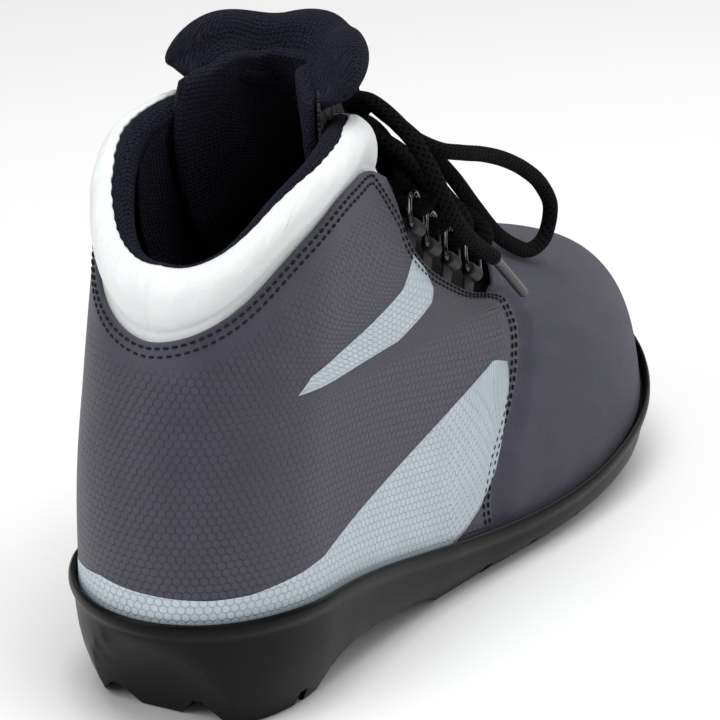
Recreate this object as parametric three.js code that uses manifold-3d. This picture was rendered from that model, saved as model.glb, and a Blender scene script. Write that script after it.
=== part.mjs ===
// A right-foot junior cross country ski boot with a two-groove binding sole.
// Millimetres. +X points to the toe, +Y to the inner (medial) side, +Z up.
// The boot is built round a last: a smooth foot form that every layer of the upper follows.

import * as THREE from "three";
import { mergeVertices } from "three/addons/utils/BufferGeometryUtils.js";
import Module from "manifold-3d";

const wasm = await Module();
wasm.setup();

// ---------------------------------------------------------------- driving dimensions

const LAST_LENGTH = 261; // heel to toe tip where the upper meets the sole
const BALL_WIDTH = 92; // across the ball of the foot
const SHAFT_RISE = 108; // heel seam, from the sole up to the collar's edge

const FIT_GAP = 0.3; // between two pieces that touch

// thickness of each layer of the upper
const QUARTER_WALL = 1.1;
const VAMP_WALL = 1.0;
const PUFF_WALL = 0.9;
const COUNTER_WALL = 1.4;
const LINING_WALL = 1.2;
const COLLAR_SKIN = 1.2;
const COLLAR_PAD = 6.2; // cover, foam and knit lining together take this much
const COLLAR_LINING_WALL = 1.2;
const TONGUE_SKIN = 0.8;
const TONGUE_PAD = 3.4;
const TONGUE_LINING_WALL = 1.0;
const GUSSET_WALL = 0.7;
const BOLSTER_WALL = 12; // the roll's thickness

// sole
const BEAD = 2.8; // the rolled rim stands this far outside the upper
const GROOVE_SPACING = 25; // between the two binding grooves, centre to centre
const GROOVE_MOUTH = 13;
const GROOVE_CROWN = 4;
const GROOVE_DEPTH = 5.5;
const LUG_SLOT = 3.5;
const LUG_SLOT_DEPTH = 4;
const TOE_BAR_RADIUS = 2;
const TOE_BAR_LENGTH = 40;
const TOE_BAR_SETBACK = 14; // from the toe tip back to the bar
const TOE_BAR_HEIGHT = 9;
const TOE_SLOT_WIDTH = 30; // across the boot
const TOE_SLOT_LENGTH = 13;
const TOE_SLOT_TOP = 15;
const SHANK_WALL = 1.4;
const SHANK_WIDTH = 18;
const BOARD_WALL = 1.8;
const FOOTBED_WALL = 4;

// lacing
const LACE_RADIUS = 2.2;
const LACE_TURN = 1.4; // clear space between a ring's wire and the lace that turns round it
const RING_WIRE_RADIUS = 1;
const RING_REACH = 9.5; // from the bar in the tab to the far side of the ring
const RING_WIDTH = 8.2; // between the centres of its two legs
const TAB_WIDTH = 5;
const TAB_BARREL_RADIUS = 2.2;
const TAB_WALL = 1;
const TAB_TAIL = 8; // hidden under the quarter
const AGLET_RADIUS = 1.5;

// ---------------------------------------------------------------- small tools

const clamp = THREE.MathUtils.clamp;
const lerp = THREE.MathUtils.lerp;
const smooth = THREE.MathUtils.smoothstep;

// a smooth curve drawn by evenly spaced values, starting and ending on the first and last
function spline(values, at) {
  if (at > 1) {
    const step = 0.02;
    return spline(values, 1) + ((at - 1) / step) * (spline(values, 1) - spline(values, 1 - step));
  }
  const last = values.length - 1;
  const value = (i) => {
    if (i < 0) return 2 * values[0] - values[1];
    return i > last ? 2 * values[last] - values[last - 1] : values[i];
  };
  const place = clamp(at, 0, 1) * last;
  const i = Math.min(Math.floor(place), last - 1);
  const u = place - i;
  const w = 1 - u;
  const inner = w * w * w * value(i - 1) + (3 * u * u * u - 6 * u * u + 4) * value(i);
  const outer = (3 * w * w * w - 6 * w * w + 4) * value(i + 1) + u * u * u * value(i + 2);
  return (inner + outer) / 6;
}

// straight lines between [position, value] points
function through(points, at) {
  const next = points.findIndex((p) => p[0] >= at);
  if (next === 0) return points[0][1];
  if (next < 0) return points[points.length - 1][1];
  const [x0, y0] = points[next - 1];
  const [x1, y1] = points[next];
  return lerp(y0, y1, (at - x0) / (x1 - x0));
}

// ---------------------------------------------------------------- the last

// Its shape in the base size; the driving dimensions grade it.
// Lines run from the sole joint (height 0) to the collar (height 1).
const BASE_LENGTH = 261;
const BASE_WIDTH = 92;
const BASE_RISE = 108;
const HEEL_X = [2, 1, 2.5, 6, 9, 14, 18.5];
const HEEL_RISE = [0, 20.5, 38, 53.5, 67, 83.5, 108];
const FRONT_X = [263, 269.5, 245, 202, 141, 102, 107.5];
const FRONT_RISE = [0, 15, 33.5, 44.5, 83, 129, 137.5];
// half widths at the heel, behind the waist, waist, ball and toe
const JOINT_HALF_WIDTHS = [34, 36, 38.5, 49, 36.5];
const COLLAR_HALF_WIDTHS = [31, 31, 33.5, 23, 15.5];
const SOLE_HEIGHTS = [31, 29.5, 16, 9, 13.5, 29.5]; // the sole joint, heel to toe
const SWING = [-4, 3, -2.5, 1.5]; // the centre line's sideways curve at the sole
const COLLAR_DIP = [-15, 2.5, 4.5, 3.5, 1];
const HEEL_ROUND = 43; // how far the rounding of the heel reaches forward
const TOE_ROUND = [0.2, 0.3]; // share of the length that the toe's rounding takes, and its growth

const gradeX = LAST_LENGTH / BASE_LENGTH;
const gradeY = BALL_WIDTH / BASE_WIDTH;
const gradeZ = SHAFT_RISE / BASE_RISE;

const soleHeight = (along) => spline(SOLE_HEIGHTS, along);

// angle runs round the foot: 0 at the toe, PI at the heel, positive on the inner side
function last(angle, height) {
  const along = (1 + Math.cos(angle)) / 2;
  const back = spline(HEEL_X, height) * gradeX;
  const length = spline(FRONT_X, height) * gradeX - back;
  const widths = JOINT_HALF_WIDTHS.map((w, i) => lerp(w, COLLAR_HALF_WIDTHS[i], height));
  const heelRound = Math.sqrt(1 - clamp(1 - (along * length) / (HEEL_ROUND * gradeX), 0, 1) ** 2);
  const toeShare = TOE_ROUND[0] + TOE_ROUND[1] * height;
  const toeRound = (1 - clamp(1 - (1 - along) / toeShare, 0, 1) ** 2.3) ** (1 / 2.3);
  const half = spline(widths, along) * heelRound * toeRound * Math.sign(Math.sin(angle));
  const straight = lerp(SOLE_HEIGHTS[0], SOLE_HEIGHTS[5], along);
  const fade = Math.max(0, 1 - 2 * height) ** 2;
  const joint = straight + (soleHeight(along) - straight) * fade;
  const rise = lerp(spline(HEEL_RISE, height), spline(FRONT_RISE, height), along) * gradeZ;
  const dip = spline(COLLAR_DIP, along) * Math.max(0, 2 * height - 1) ** 2;
  const swing = spline(SWING, along) * (1 - height);
  return new THREE.Vector3(back + length * along, (half + swing) * gradeY, joint + rise + dip);
}

function outward(angle, height) {
  const step = 0.004;
  const round = last(angle + step, height).sub(last(angle - step, height));
  const up = last(angle, height + step).sub(last(angle, Math.max(height - step, 0)));
  return round.cross(up).normalize();
}

// a point of the upper, so deep inside the last's surface
function at(angle, height, depth = 0) {
  return last(angle, height).addScaledVector(outward(angle, height), -depth);
}

// ---------------------------------------------------------------- lines on the last

// the quarter's front edge, seam and eyestay: [height, angle]
const QUARTER_EDGE = [
  [0, 1.55],
  [0.06, 1.57],
  [0.14, 1.53],
  [0.23, 1.44],
  [0.34, 1.32],
  [0.44, 1.18],
  [0.5, 1.08],
  [0.53, 1.19],
  [0.62, 1.26],
  [0.67, 1.25],
  [0.69, 1.22],
  [0.74, 1.08],
];
// collar lines from its front corner to the back of the heel: [angle, height]
const COLLAR_LOW = [
  [1, 0.727],
  [1.23, 0.807],
  [1.67, 0.843],
  [2.1, 0.835],
  [2.46, 0.812],
  [3.15, 0.79],
];
const COLLAR_TOP = [
  [1, 0.86],
  [1.25, 0.9],
  [1.75, 0.935],
  [2.1, 0.955],
  [2.5, 0.96],
  [3.15, 1],
];
const THROAT_SIDE = 0.5; // height of the vamp's top edge at the seam
const THROAT_CENTRE = 0.6; // and on the instep

const quarterEdge = (height) => through(QUARTER_EDGE, height);
const collarLow = (angle) => through(COLLAR_LOW, angle);
const collarTop = (angle) => through(COLLAR_TOP, angle);
const throat = (share) => lerp(THROAT_SIDE, THROAT_CENTRE, Math.cos((share * Math.PI) / 2));

// ---------------------------------------------------------------- making solids

function bodyFrom(points, faces) {
  const geometry = new THREE.BufferGeometry();
  geometry.setAttribute("position", new THREE.Float32BufferAttribute(points.flatMap((p) => p.toArray()), 3));
  let volume = 0;
  for (const [a, b, c] of faces) {
    volume += points[a].dot(points[b].clone().cross(points[c]));
  }
  geometry.setIndex(faces.flatMap((f) => (volume < 0 ? [f[0], f[2], f[1]] : f)));
  geometry.computeVertexNormals();
  return geometry;
}

// a closed sheet with a wall: place(across, up, side) for 0..1, side 0 outside and 1 inside
function sheet(columns, rows, place) {
  const points = [];
  for (const side of [0, 1]) {
    for (let j = 0; j <= rows; j++) {
      for (let i = 0; i <= columns; i++) points.push(place(i / columns, j / rows, side));
    }
  }
  const index = (i, j, side) => side * (rows + 1) * (columns + 1) + j * (columns + 1) + i;
  const faces = [];
  const quad = (a, b, c, d) => faces.push([a, b, c], [a, c, d]);
  for (let j = 0; j < rows; j++) {
    for (let i = 0; i < columns; i++) {
      quad(index(i, j, 0), index(i + 1, j, 0), index(i + 1, j + 1, 0), index(i, j + 1, 0));
      quad(index(i, j, 1), index(i, j + 1, 1), index(i + 1, j + 1, 1), index(i + 1, j, 1));
    }
    quad(index(0, j, 0), index(0, j + 1, 0), index(0, j + 1, 1), index(0, j, 1));
    quad(index(columns, j, 0), index(columns, j, 1), index(columns, j + 1, 1), index(columns, j + 1, 0));
  }
  for (let i = 0; i < columns; i++) {
    quad(index(i, 0, 0), index(i, 0, 1), index(i + 1, 0, 1), index(i + 1, 0, 0));
    quad(index(i, rows, 0), index(i + 1, rows, 0), index(i + 1, rows, 1), index(i, rows, 1));
  }
  return bodyFrom(points, faces);
}

// a stack of closed rings, lid to lid; each ring is a list of points that pairs across its middle
function stack(rings) {
  const count = rings[0].length;
  const points = rings.flat();
  const faces = [];
  for (let k = 0; k + 1 < rings.length; k++) {
    for (let i = 0; i < count; i++) {
      const j = (i + 1) % count;
      faces.push([k * count + i, k * count + j, (k + 1) * count + j]);
      faces.push([k * count + i, (k + 1) * count + j, (k + 1) * count + i]);
    }
  }
  const lid = (start, turn) => {
    for (let i = 0; i < count / 2; i++) {
      const [a, b] = [start + i, start + i + 1];
      const [c, d] = [start + ((count - i - 1) % count), start + ((count - i) % count)];
      if (i > 0) faces.push(turn ? [a, c, d] : [a, d, c]);
      if (b !== c) faces.push(turn ? [a, b, c] : [a, c, b]);
    }
  };
  lid(0, false);
  lid((rings.length - 1) * count, true);
  return bodyFrom(points, faces);
}

function tube(points, radius, steps, sides) {
  const path = new THREE.CatmullRomCurve3(points.map((p) => (p.isVector3 ? p : new THREE.Vector3(...p))));
  const section = new THREE.Shape();
  for (let i = 0; i < sides; i++) {
    const turn = (2 * Math.PI * i) / sides;
    const move = i === 0 ? "moveTo" : "lineTo";
    section[move](radius * Math.cos(turn), radius * Math.sin(turn));
  }
  section.closePath();
  return new THREE.ExtrudeGeometry(section, { steps, extrudePath: path, bevelEnabled: false });
}

// a closed wire hoop along a closed path
function hoop(points, radius, steps, sides) {
  const path = new THREE.CatmullRomCurve3(points, true);
  const frames = path.computeFrenetFrames(steps, true);
  const rim = [];
  for (let i = 0; i < steps; i++) {
    const centre = path.getPointAt(i / steps);
    for (let j = 0; j < sides; j++) {
      const turn = (2 * Math.PI * j) / sides;
      const point = centre.clone().addScaledVector(frames.normals[i], radius * Math.cos(turn));
      rim.push(point.addScaledVector(frames.binormals[i], radius * Math.sin(turn)));
    }
  }
  const faces = [];
  for (let i = 0; i < steps; i++) {
    for (let j = 0; j < sides; j++) {
      const [a, b] = [i * sides + j, i * sides + ((j + 1) % sides)];
      const [c, d] = [((i + 1) % steps) * sides + ((j + 1) % sides), ((i + 1) % steps) * sides + j];
      faces.push([a, b, c], [a, c, d]);
    }
  }
  return bodyFrom(rim, faces);
}

function solid(geometry) {
  const bare = geometry.index ? geometry.clone() : geometry;
  bare.deleteAttribute("normal");
  bare.deleteAttribute("uv");
  const merged = mergeVertices(bare, 1e-4);
  const mesh = new wasm.Mesh({
    numProp: 3,
    vertProperties: new Float32Array(merged.attributes.position.array),
    triVerts: new Uint32Array(merged.index.array),
  });
  return new wasm.Manifold(mesh);
}

function shapeOf(manifold) {
  const mesh = manifold.getMesh();
  const geometry = new THREE.BufferGeometry();
  geometry.setAttribute("position", new THREE.BufferAttribute(mesh.vertProperties, 3));
  geometry.setIndex(new THREE.BufferAttribute(mesh.triVerts, 1));
  geometry.computeVertexNormals();
  return geometry;
}

const boxAt = (sx, sy, sz, x, y, z) => solid(new THREE.BoxGeometry(sx, sy, sz).translate(x, y, z));

// a profile in the X-Z plane, extruded across the boot
function acrossBoot(shape, width) {
  const block = new THREE.ExtrudeGeometry(shape, { depth: width, bevelEnabled: false, curveSegments: 6 });
  return block.rotateX(Math.PI / 2).translate(0, width / 2, 0);
}

const cloth = (color, roughness = 0.9) => new THREE.MeshStandardMaterial({ color, roughness, metalness: 0 });
const steel = (color) => new THREE.MeshStandardMaterial({ color, roughness: 0.3, metalness: 0.9 });

const SLATE = 0x4b4a57;
const SLATE_SMOOTH = 0x4a4a55;
const WHITE = 0xe6e9ea;
const KNIT = 0x1c1d26;
const BLACK = 0x17181b;
const FOAM = 0xb9b6a8;
const BOARD = 0x8d7f68;

const boot = new THREE.Group();

function add(name, geometry, material) {
  const mesh = new THREE.Mesh(geometry, material);
  mesh.name = name;
  boot.add(mesh);
  return mesh;
}

// ---------------------------------------------------------------- sole

const SOLE_COLUMNS = 60;
// how far the ground edge lies inside the rim, and how high it is, heel to toe
const UNDERCUT = [
  [0, 9],
  [0.05, 8],
  [0.13, 6.5],
  [0.3, 5],
  [0.6, 4],
  [0.85, 5],
  [1, 12],
];
// the heel's ground edge is cut straight across, this far from the last's back
const HEEL_FLAT = 18.5 * gradeX;
const TOE_SPRING = [
  [0, 0],
  [0.82, 0],
  [0.92, 3],
  [1, 9],
];
// the rolled rim, outside the upper and above the joint: [out, up]
const RIM_SECTION = [
  [0.6, -0.4],
  [1.2, 2.2],
  [2, 2.9],
  [BEAD, 1.4],
  [BEAD - 0.4, -1],
  [BEAD - 1.4, -2.6],
];

// a point so far outside the sole joint, in plan
function besideJoint(angle, out) {
  const step = 0.004;
  const along = last(angle + step, 0).sub(last(angle - step, 0));
  const side = new THREE.Vector3(along.y, -along.x, 0).normalize();
  return last(angle, 0).addScaledVector(side, out);
}

function ring(count, heightAt, outAt) {
  const points = [];
  for (let i = 0; i < count; i++) {
    const angle = (2 * Math.PI * i) / count;
    const along = (1 + Math.cos(angle)) / 2;
    const point = besideJoint(angle, outAt(along));
    point.z = heightAt(along);
    points.push(point);
  }
  return points;
}

const jointRing = (count, out, up) => ring(count, (s) => soleHeight(s) + up, () => out);

function soleBlank() {
  const rings = RIM_SECTION.map(([out, up]) => jointRing(SOLE_COLUMNS, out, up));
  const undercut = (s) => -through(UNDERCUT, s);
  rings.push(ring(SOLE_COLUMNS, (s) => lerp(through(TOE_SPRING, s), soleHeight(s) - 2.6, 0.5), (s) => undercut(s) / 2 + 1));
  rings.push(ring(SOLE_COLUMNS, (s) => through(TOE_SPRING, s), undercut));
  for (const point of rings.at(-2)) point.x = Math.max(point.x, HEEL_FLAT * 0.57);
  for (const point of rings.at(-1)) point.x = Math.max(point.x, HEEL_FLAT);
  return solid(stack(rings));
}

// the space under the waist, between the heel block and the forefoot
const ARCH_START = 47 * gradeX;
const ARCH_END = 114 * gradeX;
const ARCH_HEIGHT = 9.5;

function archCut() {
  const shape = new THREE.Shape();
  shape.moveTo(ARCH_START, -1);
  shape.quadraticCurveTo(ARCH_START + 3, ARCH_HEIGHT, ARCH_START + 16, ARCH_HEIGHT);
  shape.lineTo(ARCH_END - 26, ARCH_HEIGHT - 1.5);
  shape.quadraticCurveTo(ARCH_END - 8, ARCH_HEIGHT - 4, ARCH_END, -1);
  shape.closePath();
  return solid(acrossBoot(shape, BALL_WIDTH + 20));
}

function grooveCut(y) {
  const shape = new THREE.Shape();
  const below = 1;
  const flare = (GROOVE_MOUTH - GROOVE_CROWN) / 2 / GROOVE_DEPTH;
  shape.moveTo(y - GROOVE_MOUTH / 2 - below * flare, -below);
  shape.lineTo(y - GROOVE_CROWN / 2, GROOVE_DEPTH);
  shape.lineTo(y + GROOVE_CROWN / 2, GROOVE_DEPTH);
  shape.lineTo(y + GROOVE_MOUTH / 2 + below * flare, -below);
  shape.closePath();
  const block = new THREE.ExtrudeGeometry(shape, { depth: LAST_LENGTH + 40, bevelEnabled: false });
  block.rotateX(Math.PI / 2).rotateZ(Math.PI / 2);
  return solid(block.translate(-20, 0, 0));
}

// the stretch that the shank and its pocket share
const SHANK_START = 45 * gradeX;
const SHANK_END = 150 * gradeX;

function shankStrip(grow) {
  const count = 12;
  return sheet(count, 1, (across, up, side) => {
    const x = lerp(SHANK_START - grow, SHANK_END + grow, across);
    const y = (up - 0.5) * (SHANK_WIDTH + 2 * grow);
    const top = soleHeight(x / LAST_LENGTH) - 0.4 - FIT_GAP;
    return new THREE.Vector3(x, y, side === 0 ? top + 3 * grow : top - SHANK_WALL - grow);
  });
}

// slots between the lugs, on the two outer rails
const HEEL_SLOT_X = 38 * gradeX;
const FIRST_LUG_X = 133 * gradeX;
const LUG_PITCH = 22;
const LUG_SLOTS = 5;

function outsole() {
  let sole = soleBlank().subtract(archCut());
  for (const side of [-1, 1]) {
    sole = sole.subtract(grooveCut((side * GROOVE_SPACING) / 2));
    const slots = [HEEL_SLOT_X];
    for (let i = 0; i < LUG_SLOTS; i++) slots.push(FIRST_LUG_X + i * LUG_PITCH);
    const inner = (GROOVE_SPACING + GROOVE_MOUTH) / 2 - 1;
    const reach = BALL_WIDTH / 2;
    for (const x of slots) {
      const y = side * (inner + reach / 2);
      sole = sole.subtract(boxAt(LUG_SLOT, reach, 2 * LUG_SLOT_DEPTH, x, y, 0));
    }
  }
  const barX = 2 * gradeX + LAST_LENGTH - TOE_BAR_SETBACK;
  sole = sole.subtract(boxAt(TOE_SLOT_LENGTH, TOE_SLOT_WIDTH, 2 * TOE_SLOT_TOP, barX, 0, 0));
  const seat = new THREE.CylinderGeometry(TOE_BAR_RADIUS + FIT_GAP, TOE_BAR_RADIUS + FIT_GAP, TOE_BAR_LENGTH + 2 * FIT_GAP, 12);
  sole = sole.subtract(solid(seat.translate(barX, 0, TOE_BAR_HEIGHT)));
  sole = sole.subtract(solid(shankStrip(FIT_GAP)));
  const bar = new THREE.CylinderGeometry(TOE_BAR_RADIUS, TOE_BAR_RADIUS, TOE_BAR_LENGTH, 12);
  add("toe_bar", bar.translate(barX, 0, TOE_BAR_HEIGHT), steel(0xb9bcc0));
  add("outsole", shapeOf(sole), cloth(BLACK, 0.45));
}

outsole();
add("shank", shankStrip(0), steel(0x8f9296));

const INNER_DEPTH = 3.9; // where the linings start, inside the last's surface
const BOARD_INSET = INNER_DEPTH + LINING_WALL + 2 * FIT_GAP;

function plate(name, inset, low, high, material) {
  const count = 40;
  add(name, stack([jointRing(count, -inset, high), jointRing(count, -inset, low)]), material);
}

plate("insole_board", BOARD_INSET, -0.1, BOARD_WALL - 0.1, cloth(BOARD));
plate("footbed", BOARD_INSET + 4 * FIT_GAP, BOARD_WALL + 0.2, BOARD_WALL + 0.2 + FOOTBED_WALL, cloth(KNIT));

// ---------------------------------------------------------------- upper

// across runs from the outer side's edge round the heel to the inner side's edge
function aroundHeel(across, edge) {
  return Math.PI + (2 * across - 1) * (Math.PI - edge);
}
const fromToe = (angle) => Math.abs(angle > Math.PI ? angle - 2 * Math.PI : angle);

function quarterSheet(columns, rows, low, trim, drop, depthAt) {
  return sheet(columns, rows, (across, up, side) => {
    const endAngle = fromToe(aroundHeel(across, quarterEdge(1)));
    const height = lerp(low, collarLow(endAngle) - drop, up);
    const angle = aroundHeel(across, quarterEdge(height) + trim);
    return at(angle, height, depthAt(side));
  });
}

add("quarter", quarterSheet(28, 12, 0, 0, 0, (side) => side * QUARTER_WALL), cloth(SLATE, 0.7));

const LINING_TRIM = 0.05;
add(
  "quarter_lining",
  quarterSheet(26, 6, 0.03, LINING_TRIM, 0.05, (side) => INNER_DEPTH + side * LINING_WALL),
  cloth(KNIT, 1),
);

// the vamp lies in the surface and dips under the quarter's edge
const UNDERLAP = 0.07;
const UNDER_QUARTER = QUARTER_WALL + FIT_GAP;

function vampSheet(columns, rows, low, top, trim, depthAt) {
  return sheet(columns, rows, (across, up, side) => {
    const share = 2 * across - 1;
    const height = lerp(low, throat(share) - top, up);
    const edge = quarterEdge(height);
    const angle = share * (edge + trim);
    return at(angle, height, depthAt(edge - Math.abs(angle), side));
  });
}

add(
  "vamp",
  vampSheet(26, 8, 0, 0, UNDERLAP, (inside, side) => UNDER_QUARTER * smooth(-inside, -0.17, -0.08) + side * VAMP_WALL),
  cloth(SLATE_SMOOTH, 0.85),
);
add(
  "vamp_lining",
  vampSheet(20, 5, 0.03, 0.03, -LINING_TRIM, (inside, side) => INNER_DEPTH + side * LINING_WALL),
  cloth(KNIT, 1),
);

const PUFF_REACH = 1.1;
add(
  "toe_puff",
  sheet(16, 4, (across, up, side) => {
    const angle = lerp(-PUFF_REACH, PUFF_REACH, across);
    return at(angle, lerp(0.02, 0.34, up), VAMP_WALL + 3 * FIT_GAP + side * PUFF_WALL);
  }),
  cloth(FOAM, 0.6),
);

const COUNTER_EDGE = 2;
add(
  "heel_counter",
  sheet(16, 5, (across, up, side) => {
    const angle = aroundHeel(across, COUNTER_EDGE);
    return at(angle, lerp(0.02, 0.42, up), QUARTER_WALL + 2 * FIT_GAP + side * COUNTER_WALL);
  }),
  cloth(FOAM, 0.6),
);

// ---------------------------------------------------------------- collar

const COLLAR_FRONT = 1;
const COLLAR_TUCK = -0.12; // the cover's hem, behind the quarter's edge
const COLLAR_STEP = 0.15; // where the cover starts to swell
const COLLAR_BULGE = 2.4;
const COLLAR_COLUMNS = 26;

// the cover starts behind the quarter, swells out above its edge and turns in at the top;
// up is 0 at the quarter's edge and 1 at the top
function coverDepth(up) {
  const swell = Math.sin(Math.PI * clamp((up - COLLAR_STEP) / (1 - COLLAR_STEP), 0, 1)) ** 0.8;
  return lerp(UNDER_QUARTER + FIT_GAP, 1, clamp(up, 0, 1)) - (COLLAR_BULGE + 1) * swell;
}

// the rows run from the hidden hem at low to high, in shares of the visible collar
function collarSheet(rows, low, high, depthAt) {
  return sheet(COLLAR_COLUMNS, rows, (across, row, side) => {
    const angle = aroundHeel(across, COLLAR_FRONT);
    const seam = collarLow(fromToe(angle));
    const up = lerp(low, high, row);
    return at(angle, lerp(seam, collarTop(fromToe(angle)), up), depthAt(up, side));
  });
}

add(
  "collar_cover",
  collarSheet(7, COLLAR_TUCK, 1, (up, side) => coverDepth(up) + side * COLLAR_SKIN),
  cloth(WHITE, 0.6),
);
add(
  "collar_foam",
  collarSheet(7, COLLAR_TUCK, 1, (up, side) => (side === 0 ? coverDepth(up) + COLLAR_SKIN + 2 * FIT_GAP : COLLAR_PAD)),
  cloth(FOAM),
);
add(
  "collar_lining",
  collarSheet(4, COLLAR_TUCK, 1, (up, side) => COLLAR_PAD + FIT_GAP + side * COLLAR_LINING_WALL),
  cloth(KNIT, 1),
);

// ---------------------------------------------------------------- tongue

const TONGUE_EDGE = 1.45;
const TONGUE_LOW = 0.5;
const TONGUE_HIGH = 0.85; // height of its top edge in front
const WING_HIGH = 0.935; // and at its two wings
const TONGUE_DEPTH = INNER_DEPTH + LINING_WALL + 2.2;
const TONGUE_CREST = 7; // where the laces lie on it
const COLLAR_CLEAR = COLLAR_PAD + COLLAR_LINING_WALL + 5 * FIT_GAP;

const tongueTop = (angle) => lerp(TONGUE_HIGH, WING_HIGH, smooth(Math.abs(angle), 0.4, 1.1));

function tongueDepth(angle, height) {
  const side = Math.abs(angle);
  const lift = (1 - smooth(side, 0.5, 0.85)) * smooth(height, 0.6, 0.66);
  const tuck = smooth(side, 0.74, 0.96) * smooth(height, 0.64, 0.72);
  return TONGUE_DEPTH - (TONGUE_DEPTH - TONGUE_CREST) * lift + (COLLAR_CLEAR - TONGUE_DEPTH) * tuck;
}

// the tongue's layers lie straight under the last's surface on the instep, and shrink
// towards the leg's middle above it, so that they stay round round the shin
function tonguePoint(angle, height, depth) {
  const skin = last(angle, height);
  const wing = last(TONGUE_EDGE, height);
  const leg = new THREE.Vector3(wing.x, last(0, height).y, skin.z);
  const inward = leg.sub(skin).normalize();
  const share = smooth(height, 0.68, 0.84);
  return skin.addScaledVector(outward(angle, height).negate().lerp(inward, share).normalize(), depth);
}

const TONGUE_COLUMNS = 18;
const TONGUE_ROWS = 7;

function tongueSheet(from, to) {
  return sheet(TONGUE_COLUMNS, TONGUE_ROWS, (across, up, side) => {
    const angle = lerp(-TONGUE_EDGE, TONGUE_EDGE, across);
    const height = lerp(TONGUE_LOW, tongueTop(angle), up);
    return tonguePoint(angle, height, tongueDepth(angle, height) + (side === 0 ? from : to));
  });
}

const SKIN_GAP = 1.5 * FIT_GAP; // the layers' slopes close the gap a little
const tonguePadFront = TONGUE_SKIN + SKIN_GAP;
const tongueLiningFront = tonguePadFront + TONGUE_PAD + SKIN_GAP;
const tongueBack = tongueLiningFront + TONGUE_LINING_WALL;
add("tongue_shell", tongueSheet(0, TONGUE_SKIN), cloth(BLACK));
add("tongue_foam", tongueSheet(tonguePadFront, tonguePadFront + TONGUE_PAD), cloth(FOAM));
add("tongue_lining", tongueSheet(tongueLiningFront, tongueBack), cloth(KNIT, 1));

// a thin cloth on each side closes the gap between the tongue's edge and the upper
const GUSSET_START = TONGUE_EDGE + 0.02;
const GUSSET_END = 1.82;
const GUSSET_LOW = 0.56;
const GUSSET_HIGH = 0.88;
const GUSSET_DEPTH = COLLAR_PAD + COLLAR_LINING_WALL + 3 * FIT_GAP;
for (const [side, name] of [
  [-1, "outer"],
  [1, "inner"],
]) {
  add(
    `gusset_${name}`,
    sheet(5, 7, (across, up, face) => {
      const angle = side * lerp(GUSSET_START, GUSSET_END, across);
      return at(angle, lerp(GUSSET_LOW, GUSSET_HIGH, up), GUSSET_DEPTH + face * GUSSET_WALL);
    }),
    cloth(BLACK),
  );
}

// the knit-covered roll along the tongue's top leans out over the collar
const BOLSTER_GAP = 0.03; // above the tongue's top edge
const BOLSTER_RISE = 0.14;
const BOLSTER_OUT = 4; // how far it stands outside the last's surface
add(
  "tongue_bolster",
  sheet(20, 5, (across, up, side) => {
    const angle = lerp(-TONGUE_EDGE, TONGUE_EDGE, across);
    const round = Math.sin(Math.PI * lerp(0.14, 0.86, up));
    const height = tongueTop(angle) + lerp(BOLSTER_GAP, BOLSTER_RISE, up);
    const half = (BOLSTER_WALL / 2) * round * lerp(1, 0.6, smooth(Math.abs(angle), 1.1, TONGUE_EDGE));
    return tonguePoint(angle, height, BOLSTER_WALL / 2 - BOLSTER_OUT + (side === 0 ? -half : half));
  }),
  cloth(KNIT, 1),
);

// ---------------------------------------------------------------- lace rings and their tabs

const RING_HEIGHTS = [0.54, 0.583, 0.624, 0.664];
const RING_BEYOND_EDGE = 5.8; // from the eyestay's edge to the ring's bar
const RING_TILT = -0.08;
const TAB_DEPTH = QUARTER_WALL + FIT_GAP + 0.9; // the tab's middle, under the quarter

// the frame of a ring: its bar's centre, along the edge, over the foot and out
function ringFrame(side, height) {
  const angle = side * quarterEdge(height);
  const [low, high] = [RING_HEIGHTS[0], RING_HEIGHTS[RING_HEIGHTS.length - 1]];
  const along = at(side * quarterEdge(high), high).sub(at(side * quarterEdge(low), low)).normalize();
  const out = outward(angle, height);
  const over = out.clone().cross(along).normalize();
  if (over.dot(at(angle * 0.8, height).sub(at(angle, height))) < 0) over.negate();
  const edge = new THREE.Vector3().crossVectors(over, out).normalize();
  const bar = at(angle, height).addScaledVector(over, RING_BEYOND_EDGE);
  return { bar, edge, over, out };
}

// a point of the frame: so far over the foot, out from it and along the edge
function inFrame(frame, over, out, edge = 0) {
  const point = frame.bar.clone().addScaledVector(frame.over, over);
  return point.addScaledVector(frame.out, out).addScaledVector(frame.edge, edge);
}

function placed(geometry, frame) {
  const basis = new THREE.Matrix4().makeBasis(frame.over, frame.out, frame.edge);
  if (basis.determinant() < 0) throw new Error("the ring's frame is left-handed");
  return geometry.applyMatrix4(basis.setPosition(frame.bar));
}

function tab(frame) {
  const shape = new THREE.Shape();
  const tail = -RING_BEYOND_EDGE - TAB_TAIL;
  const low = -TAB_DEPTH - TAB_WALL / 2;
  const start = Math.asin((TAB_DEPTH - TAB_WALL / 2) / TAB_BARREL_RADIUS) || 0;
  shape.moveTo(tail, low - 0.4);
  shape.lineTo(-1, Math.max(low, -TAB_BARREL_RADIUS + 0.02));
  shape.absarc(0, 0, TAB_BARREL_RADIUS, -Math.PI / 2, Math.PI + Math.min(start, 0.9), false);
  shape.lineTo(-RING_BEYOND_EDGE + 1, -TAB_DEPTH + TAB_WALL / 2);
  shape.lineTo(tail, low + TAB_WALL - 0.4);
  shape.closePath();
  const hole = new THREE.Path();
  hole.absarc(0, 0, RING_WIRE_RADIUS + FIT_GAP, 0, 2 * Math.PI, true);
  shape.holes.push(hole);
  const block = new THREE.ExtrudeGeometry(shape, { depth: TAB_WIDTH, bevelEnabled: false, curveSegments: 5 });
  return placed(block.translate(0, 0, -TAB_WIDTH / 2), frame);
}

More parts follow.
